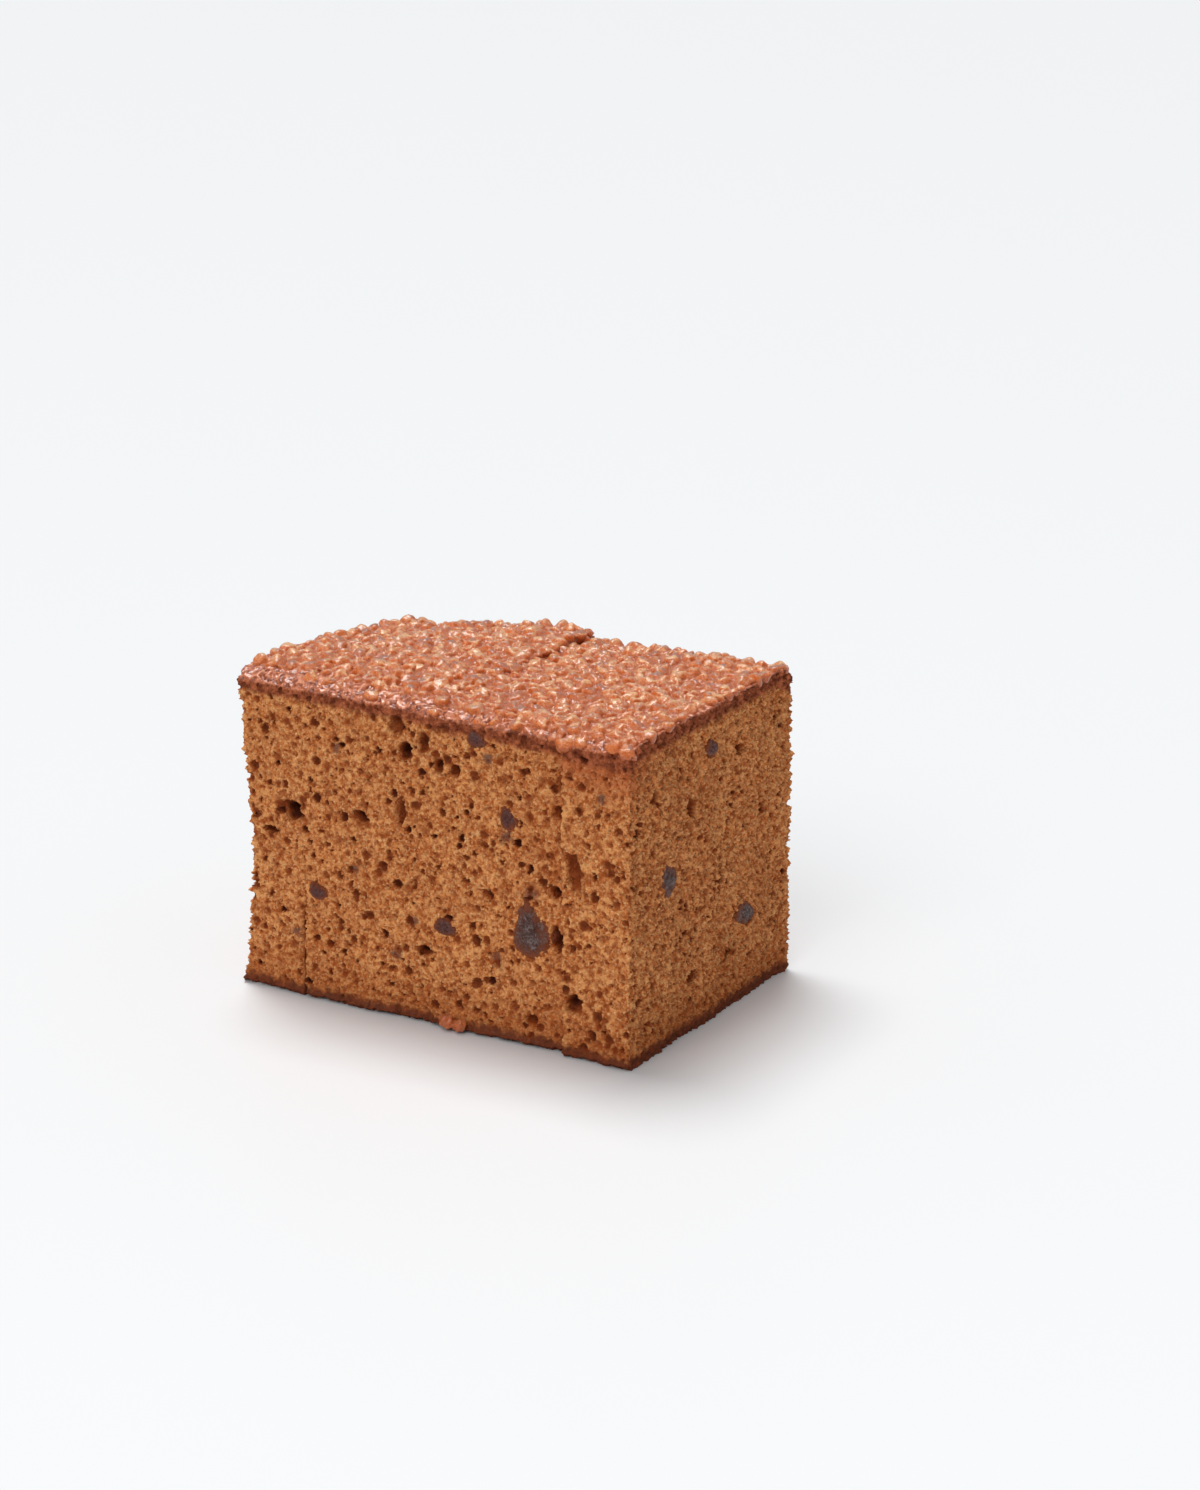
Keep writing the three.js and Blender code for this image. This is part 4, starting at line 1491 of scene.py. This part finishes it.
@dataclass
class SugarCrust:
    """The sugar lumps on one slice, melted together where they touch.

    Attributes:
        block: Where the cake stands.
        index: Which slice it is on.
        radius: A large lump's radius.
        layers: For each layer of lumps, their least distance, their range of sizes and a seed.
        voxel: How fine the melted surface is.
        thick: Thickness of the bed that the lumps melted into.
        inset: How far the bed stays behind the left end, the right end and the back.
        shape: A lump's length, width and height, as shares of its radius.
        ragged: How uneven a lump is.
        dents: Height from the deepest dent of the melted surface to its highest point.
        faces_left: What share of the melted surface's faces is kept.
    """

    WAVES: ClassVar[list[list[float]]] = [[2.1, -3.3, 2.2], [3.6, 1.7, -2.9], [-1.2, 3.1, 3.7]]
    SEEDS: ClassVar[tuple[float, ...]] = (0.4, 2.9, 5.3)  # one for each kind of lump
    MOST_LUMPS: ClassVar[float] = 1_200_000.0  # tries in each square metre, before they are thinned
    SQUARES: ClassVar[tuple[int, int]] = (16, 64)  # of the bed, across and from front to back
    CURVE_POINTS: ClassVar[int] = 2000
    CURVE_FROM: ClassVar[float] = 4.0  # how far below its foot the crust's outline is followed

    block: Block
    index: int
    radius: float = 1.7
    layers: tuple[tuple[float, tuple[float, float], int], ...] = (
        (3.2, (0.7, 1.25), 5),
        (1.9, (0.35, 0.7), 17),
    )
    voxel: float = 0.25
    thick: float = 1.7
    inset: tuple[float, float, float] = (1.4, 0.9, 1.2)
    shape: tuple[float, float, float] = (1.0, 0.9, 0.78)
    ragged: float = 0.2
    dents: float = 0.6
    faces_left: float = 0.6

    @staticmethod
    def starts(form: SliceForm) -> float:
        """Depth where the lumps start, behind the bare lip of the crust."""
        return form.front + max(0.3 * form.lip, form.lip - 4.4)

    def bed(self) -> bpy.types.Object:
        """Makes the sheet of crust that the lumps lie on.

        Returns:
            The sheet.
        """
        form = SLICES[self.index]
        low = self.index * PITCH + (self.inset[0] if self.index == 0 else 0.0)
        high = (self.index + 1) * PITCH - (self.inset[1] if self.index == len(SLICES) - 1 else 0.0)
        bpy.ops.object.select_all(action="DESELECT")
        columns, rows = self.SQUARES
        bpy.ops.mesh.primitive_grid_add(x_subdivisions=columns, y_subdivisions=rows, size=1.0,
                                        location=(0.5, 0.5, 0))
        sheet = bpy.context.object
        bpy.ops.object.transform_apply(location=True)
        sheet.name = f"sugar_{self.index + 1}"
        across, back, _ = points_of(sheet.data).astype(float).T
        far = DEPTH - form.back - self.inset[2]
        depth, height = np.zeros_like(back), np.zeros_like(back)
        for share, eased in zip(smooth_side(across), eased_forms(self.index)):
            near = self.starts(eased)
            outline = Outline(eased)
            curve = outline.at(np.linspace(outline.marks[0], outline.marks[3], self.CURVE_POINTS))
            upper = curve[curve[:, 1] > eased.foot - self.CURVE_FROM]
            here = near + (far - near) * back
            depth += share * here
            height += share * np.interp(here, upper[:, 0], upper[:, 1])
        start = self.starts(form)
        height -= 1 - smooth_step((depth - start) / (0.8 + 0.35 * form.lip))
        along = low + (high - low) * across
        move_points(sheet.data, self.block.place(np.stack([along, depth, height], -1)))
        crowd = 0.15 + 0.85 * smooth_step((depth - start + 0.5) / (0.4 + 0.5 * form.lip))
        keep(sheet.data, crowd=crowd)
        return sheet

    def lump(self, seed: float) -> bpy.types.Object:
        """Makes one uneven lump round the origin.

        Args:
            seed: Makes this lump differ from the others.

        Returns:
            The lump.
        """
        lump, points = new_ball(3)
        points = dented(points, self.WAVES, self.ragged, seed)
        move_points(lump.data, points * self.radius * MM * np.array(self.shape))
        return lump

    def build(self) -> bpy.types.Object:
        """Makes the sugar on this slice.

        Returns:
            The finished piece.
        """
        sheet = self.bed()
        lumps = [self.lump(seed) for seed in self.SEEDS]
        scatter = sheet.modifiers.new("scatter", "NODES")
        scatter.node_group = self.nodes(lumps)
        apply_modifiers(sheet)
        for lump in lumps:
            bpy.data.objects.remove(lump)
        with editing(sheet, FACES):
            bpy.ops.mesh.select_all(action="SELECT")
            bpy.ops.mesh.normals_make_consistent(inside=False)
        thin = sheet.modifiers.new("thin", "DECIMATE")
        thin.ratio = self.faces_left
        apply_modifiers(sheet)
        bpy.ops.object.shade_smooth()
        return sheet

    def strew(self, graph: Graph, bed: Socket, kinds: Socket, spacing: float, sizes: tuple[float, float],
              seed: int) -> Socket:
        """Strews lumps over the bed.

        Args:
            graph: The graph.
            bed: The sheet of crust.
            kinds: The kinds of lump, as instances.
            spacing: Least distance between two.
            sizes: Their least and greatest size, as shares of the modelled one.
            seed: Makes this layer differ from the others.

        Returns:
            The lumps as real meshes.
        """
        inputs = {"Mesh": bed, "Distance Min": spacing * MM, "Density Max": self.MOST_LUMPS}
        inputs |= {"Density Factor": kept(graph, "crowd"), "Seed": seed + self.index}
        spread = graph.node("GeometryNodeDistributePointsOnFaces", inputs, distribute_method="POISSON")

        def draw(low: Value, high: Value, kind: str, number: int) -> Socket:
            """A random value of its own for each lump."""
            inputs = {"Min": low, "Max": high, "Seed": number}
            node = graph.node("FunctionNodeRandomValue", inputs, data_type=kind)
            return next(s for s in node.outputs if s.enabled)

        turn = draw(Vector((-0.5, -0.5, 0.0)), Vector((0.5, 0.5, 2 * math.pi)), "FLOAT_VECTOR", seed + 1)
        inputs = {"Points": spread.outputs["Points"], "Instance": kinds, "Pick Instance": True}
        inputs |= {"Rotation": turn, "Scale": draw(*sizes, "FLOAT", seed + 2)}
        strewn = graph.node("GeometryNodeInstanceOnPoints", inputs)
        return graph.node("GeometryNodeRealizeInstances", {"Geometry": strewn.outputs[0]}).outputs[0]

    def nodes(self, lumps: list[bpy.types.Object]) -> bpy.types.NodeTree:
        """Nodes that strew lumps over the bed and melt all into one surface.

        Args:
            lumps: The kinds of lump.

        Returns:
            The node tree.
        """
        graph, mesh, output = geometry_tree("sugar")

        def join(*parts: Socket) -> Socket:
            """Joins meshes or instances."""
            node = graph.node("GeometryNodeJoinGeometry")
            for part in parts:
                graph.tree.links.new(part, node.inputs[0])
            return node.outputs[0]

        kinds = []
        for lump in lumps:
            shape = graph.node("GeometryNodeObjectInfo", {"Object": lump}).outputs["Geometry"]
            kinds.append(graph.node("GeometryNodeGeometryToInstance", {0: shape}).outputs[0])
        kinds = join(*kinds)
        loose = [self.strew(graph, mesh, kinds, *layer) for layer in self.layers]
        inputs = {"Mesh": mesh, "Offset Scale": -self.thick * MM, "Individual": False}
        slab = graph.node("GeometryNodeExtrudeMesh", inputs, mode="FACES")
        flipped = graph.node("GeometryNodeFlipFaces", {"Mesh": mesh}).outputs[0]
        both = join(slab.outputs["Mesh"], flipped)
        closed = graph.node("GeometryNodeMergeByDistance", {"Geometry": both}).outputs[0]
        fine = self.voxel * DETAIL * MM
        inputs = {"Mesh": join(closed, *loose), "Voxel Size": fine, "Interior Band Width": 4 * fine}
        grid = graph.node("GeometryNodeMeshToVolume", inputs, resolution_mode="VOXEL_SIZE")
        inputs = {"Volume": grid.outputs[0], "Threshold": 0.1}
        melted = graph.node("GeometryNodeVolumeToMesh", inputs, resolution_mode="GRID")

        here = graph.node("GeometryNodeInputPosition").outputs[0]
        inputs = {"Value": here, "Iterations": 1}
        blurred = graph.node("GeometryNodeBlurAttribute", inputs, data_type="FLOAT_VECTOR")
        soft = next(s for s in blurred.outputs if s.enabled)
        place = graph.scaled(here, 1 / MM)
        dents = graph.minus(graph.noise(place, 0.8, 2, 0.5).outputs["Fac"], 0.5)
        normal = graph.node("GeometryNodeInputNormal").outputs[0]
        shift = graph.scaled(normal, graph.times(dents, self.dents * MM))
        moved = {"Geometry": melted.outputs[0], "Position": graph.vector("ADD", soft, shift).outputs[0]}
        melted = graph.node("GeometryNodeSetPosition", moved).outputs[0]
        near = graph.node("GeometryNodeProximity", {0: mesh}, target_element="FACES")
        above = graph.vector("SUBTRACT", here, near.outputs["Position"]).outputs[0]
        # Height over the bed and upward facing, which the finish turns into the colour of the crevices and
        # the painted sheen.
        melted = store(graph, melted, "rise", graph.over(graph.part(above, 2), MM))
        melted = store(graph, melted, "up", graph.part(normal, 2))
        graph.feed(output.inputs[0], melted)
        return graph.tree


@dataclass
class SugarDrip:
    """Sugar that ran down a slice and set in lumps at its foot.

    Attributes:
        block: Where the cake stands.
        drops: Each lump's place and radius in the cake's millimetres.
        ragged: How uneven a lump is.
        voxel: How fine the melted surface is.
        smoothing: How many times it is smoothed.
        rise: How far it counts as standing over the crust, which sets its share of the darker colour of the
            crevices, partly painted shade.
    """

    WAVES: ClassVar[list[list[float]]] = [[4.1, -5.3, 2.2], [5.6, 2.7, -4.9], [-2.2, 4.1, 5.7]]

    block: Block
    drops: tuple[tuple[float, float, float, float], ...] = (
        (51.4, -0.3, 2.0, 1.6),
        (53.4, 0.0, 1.4, 1.1),
        (54.6, -0.5, 1.7, 1.3),
        (49.7, 0.6, 2.2, 1.0),
    )
    ragged: float = 0.22
    voxel: float = 0.18
    smoothing: int = 4
    rise: float = 0.2

    def build(self) -> bpy.types.Object:
        """Makes the lumps and melts them together.

        Returns:
            The finished piece.
        """
        drops = []
        for x, y, z, radius in self.drops:
            drop, points = new_ball(4)
            points = dented(points, self.WAVES, self.ragged, x) * radius + np.array([x, y, z])
            move_points(drop.data, self.block.place(points))
            drops.append(drop)
        piece = joined(drops)
        piece.name = "sugar_drip"
        melt = piece.modifiers.new("melt", "REMESH")
        melt.mode = "VOXEL"
        melt.voxel_size = self.voxel * MM
        soften = piece.modifiers.new("soften", "SMOOTH")
        soften.iterations = self.smoothing
        apply_modifiers(piece)
        keep(piece.data, up=read(piece.data.vertices, "normal", 3)[:, 2],
             rise=np.full(len(piece.data.vertices), self.rise))
        bpy.ops.object.shade_smooth()
        return piece


@dataclass
class Raisin:
    """A wrinkled raisin that sits in the crumb.

    Attributes:
        block: Where the cake stands.
        number: Its number, as its node's.
        spot: Its place and size.
        ragged: How uneven its rim is.
        creased: How deep its creases are, as a share of its thickness.
        shown: How much of the spot's proud it stands out by, before it is made larger.
        larger: How much larger than its pocket it is, all round.
    """

    LARGE: ClassVar[float] = 7.0  # width from which it has the colour of the big ones
    SMALLER: ClassVar[float] = 3.0  # how much narrower a raisin has the colour of the small ones
    MOST_SMALL: ClassVar[float] = 0.65  # the greatest share of that colour

    block: Block
    number: int
    spot: Spot
    ragged: float = 0.05
    creased: float = 0.22
    shown: float = 0.6
    larger: float = 0.25

    def build(self) -> bpy.types.Object:
        """Makes the raisin.

        Returns:
            The finished piece.
        """
        piece, points = new_ball(5)
        piece.name = f"raisin_skin_{self.number}"
        x, y, z = points.T
        small = np.clip((self.LARGE - self.spot.width) / self.SMALLER, 0.0, self.MOST_SMALL)
        keep(piece.data, facing=-y, small=np.full_like(y, small))
        creases = np.abs(np.sin(5.0 * x + 2.2 * np.sin(3.1 * z + self.spot.along) + self.spot.height))
        creases = creases * 0.6 + 0.4 * np.abs(np.sin(7.0 * z - 4.0 * y + 2.0 * np.sin(4.0 * x)))
        points = drop_shaped(points, self.spot.along + self.spot.height, self.ragged)
        points[:, 1] *= 1 - self.creased * (1 - creases) ** 2
        half = self.spot.thick / 2
        push_in = half - self.shown * self.spot.proud
        move_points(piece.data, place_on_face(self.block, self.spot, points, push_in, half, self.larger))
        bpy.ops.object.shade_smooth()
        return piece


@dataclass
class Studio:
    """The pale tabletop, the soft light and the camera.

    Attributes:
        block: Where the cake stands.
        focal: The photograph's focal length in pixels.
        elevation: Height of the camera's look above the horizon, in degrees.
        azimuth: Its turn round the cake, in degrees.
        distance: From the cake to the camera.
        aim: What the camera looks at, to the right of and above the middle of the cake's base.
        sensor: Width of the camera's sensor.
        sight: How far the camera sees, in metres.
        floor_size: Width of the tabletop, in metres.
        fill: Brightness of the surroundings.
        lamps: For each soft light its name, strength, where it comes from, and how wide it looks
            from the cake in degrees.
    """

    block: Block
    focal: float = 3500.0
    elevation: float = 17.46
    azimuth: float = 30.90
    distance: float = 745.9
    aim: tuple[float, float] = (17.5, 49.2)
    sensor: float = 36.0
    sight: float = 50.0
    floor_size: float = 12.0
    fill: float = 0.35
    lamps: tuple[tuple[str, float, tuple[float, float, float], float], ...] = (
        ("key", 2.4, (-0.28, 0.2, 1.0), 28.0),
        ("front", 1.0, (0.12, -1.0, 0.9), 38.0),
    )

    def camera(self) -> None:
        """Sets the camera where the photograph was taken from."""
        tilt, turn = math.radians(self.elevation), math.radians(self.azimuth)
        back = Vector((math.sin(turn) * math.cos(tilt), -math.cos(turn) * math.cos(tilt), math.sin(tilt)))
        right = Vector((math.cos(turn), math.sin(turn), 0.0))
        up = back.cross(right)
        middle = Vector(self.block.place(np.array([PITCH * len(SLICES) / 2, DEPTH / 2, 0.0])))
        spot = middle + (right * self.aim[0] + up * self.aim[1] + back * self.distance) * MM
        bpy.ops.object.camera_add(location=spot, rotation=back.to_track_quat("Z", "Y").to_euler())
        camera = bpy.context.object
        camera.data.sensor_width = self.sensor
        camera.data.lens = self.focal * self.sensor / max(PHOTO_SIZE)
        camera.data.clip_end = self.sight
        bpy.context.scene.camera = camera

    def floor(self) -> bpy.types.Object:
        """Makes the tabletop."""
        bpy.ops.object.select_all(action="DESELECT")
        bpy.ops.mesh.primitive_plane_add(size=self.floor_size)
        floor = bpy.context.object
        floor.name = "tabletop"
        floor.data.materials.append(FloorFinish().material("pale_tabletop"))
        return floor

    def light(self) -> None:
        """Adds a bright surrounding, a wide soft light from above and a weak one from the front."""
        world = bpy.data.worlds.new("studio")
        world.use_nodes = True
        bpy.context.scene.world = world
        background = world.node_tree.nodes["Background"]
        background.inputs["Color"].default_value = (1.0, 1.0, 1.0, 1.0)
        background.inputs["Strength"].default_value = self.fill
        for name, energy, way, spread in self.lamps:
            bpy.ops.object.light_add(type="SUN", rotation=Vector(way).to_track_quat("Z", "Y").to_euler())
            lamp = bpy.context.object
            lamp.name = name
            lamp.data.energy = energy
            lamp.data.angle = math.radians(spread)

    def build(self) -> None:
        """Sets up the studio."""
        self.camera()
        self.floor()
        self.light()
        bpy.context.scene.view_settings.view_transform = "Standard"


def hand_over(piece: bpy.types.Object, nodes: list[str], material: bpy.types.Material) -> None:
    """Gives a finished piece its material and tells the frame what it stands for.

    Args:
        piece: The piece.
        nodes: The CAD nodes that it replaces.
        material: Its material.
    """
    piece.data.materials.clear()
    piece.data.materials.append(material)
    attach(piece, BODY)
    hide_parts(*nodes)
    LOG.info("%s stands for %s: %d triangles", piece.name, ", ".join(nodes), triangle_count(piece.data))


def main() -> None:
    """Builds the studio and the cake in order."""
    logging.basicConfig(level=logging.INFO, format="%(relativeCreated)7.0f ms  %(message)s")
    block = Block()
    Studio(block).build()
    crumb = CrumbFinish().material("crumb")
    sugar = SugarFinish().material("browned_sugar")
    skin = RaisinFinish().material("raisin_skin")
    air = AirPockets(block).build()
    hollow, relief = hollow_nodes(air), crumb_nodes()
    for index in range(len(SLICES)):
        node = f"slice_{index + 1}"
        whole = 0 < index < len(SLICES) - 1
        for near, far in ((0.0, 1.0),) if whole else ((0.0, 0.5), (0.5, 1.0)):
            part = CakeSlice(block, index, hollow, relief, near, far)
            if not whole:
                part = replace(part, square=0.8, long_square=0.88)
            hand_over(part.build(), [node], crumb)
        hand_over(SugarCrust(block, index).build(), [node], sugar)
    hand_over(SugarDrip(block).build(), ["slice_4"], sugar)
    bpy.data.objects.remove(air)
    for number, spot in enumerate(RAISINS, start=1):
        hand_over(Raisin(block, number, spot).build(), [f"raisin_{number}"], skin)


if __name__ == "__main__":
    main()
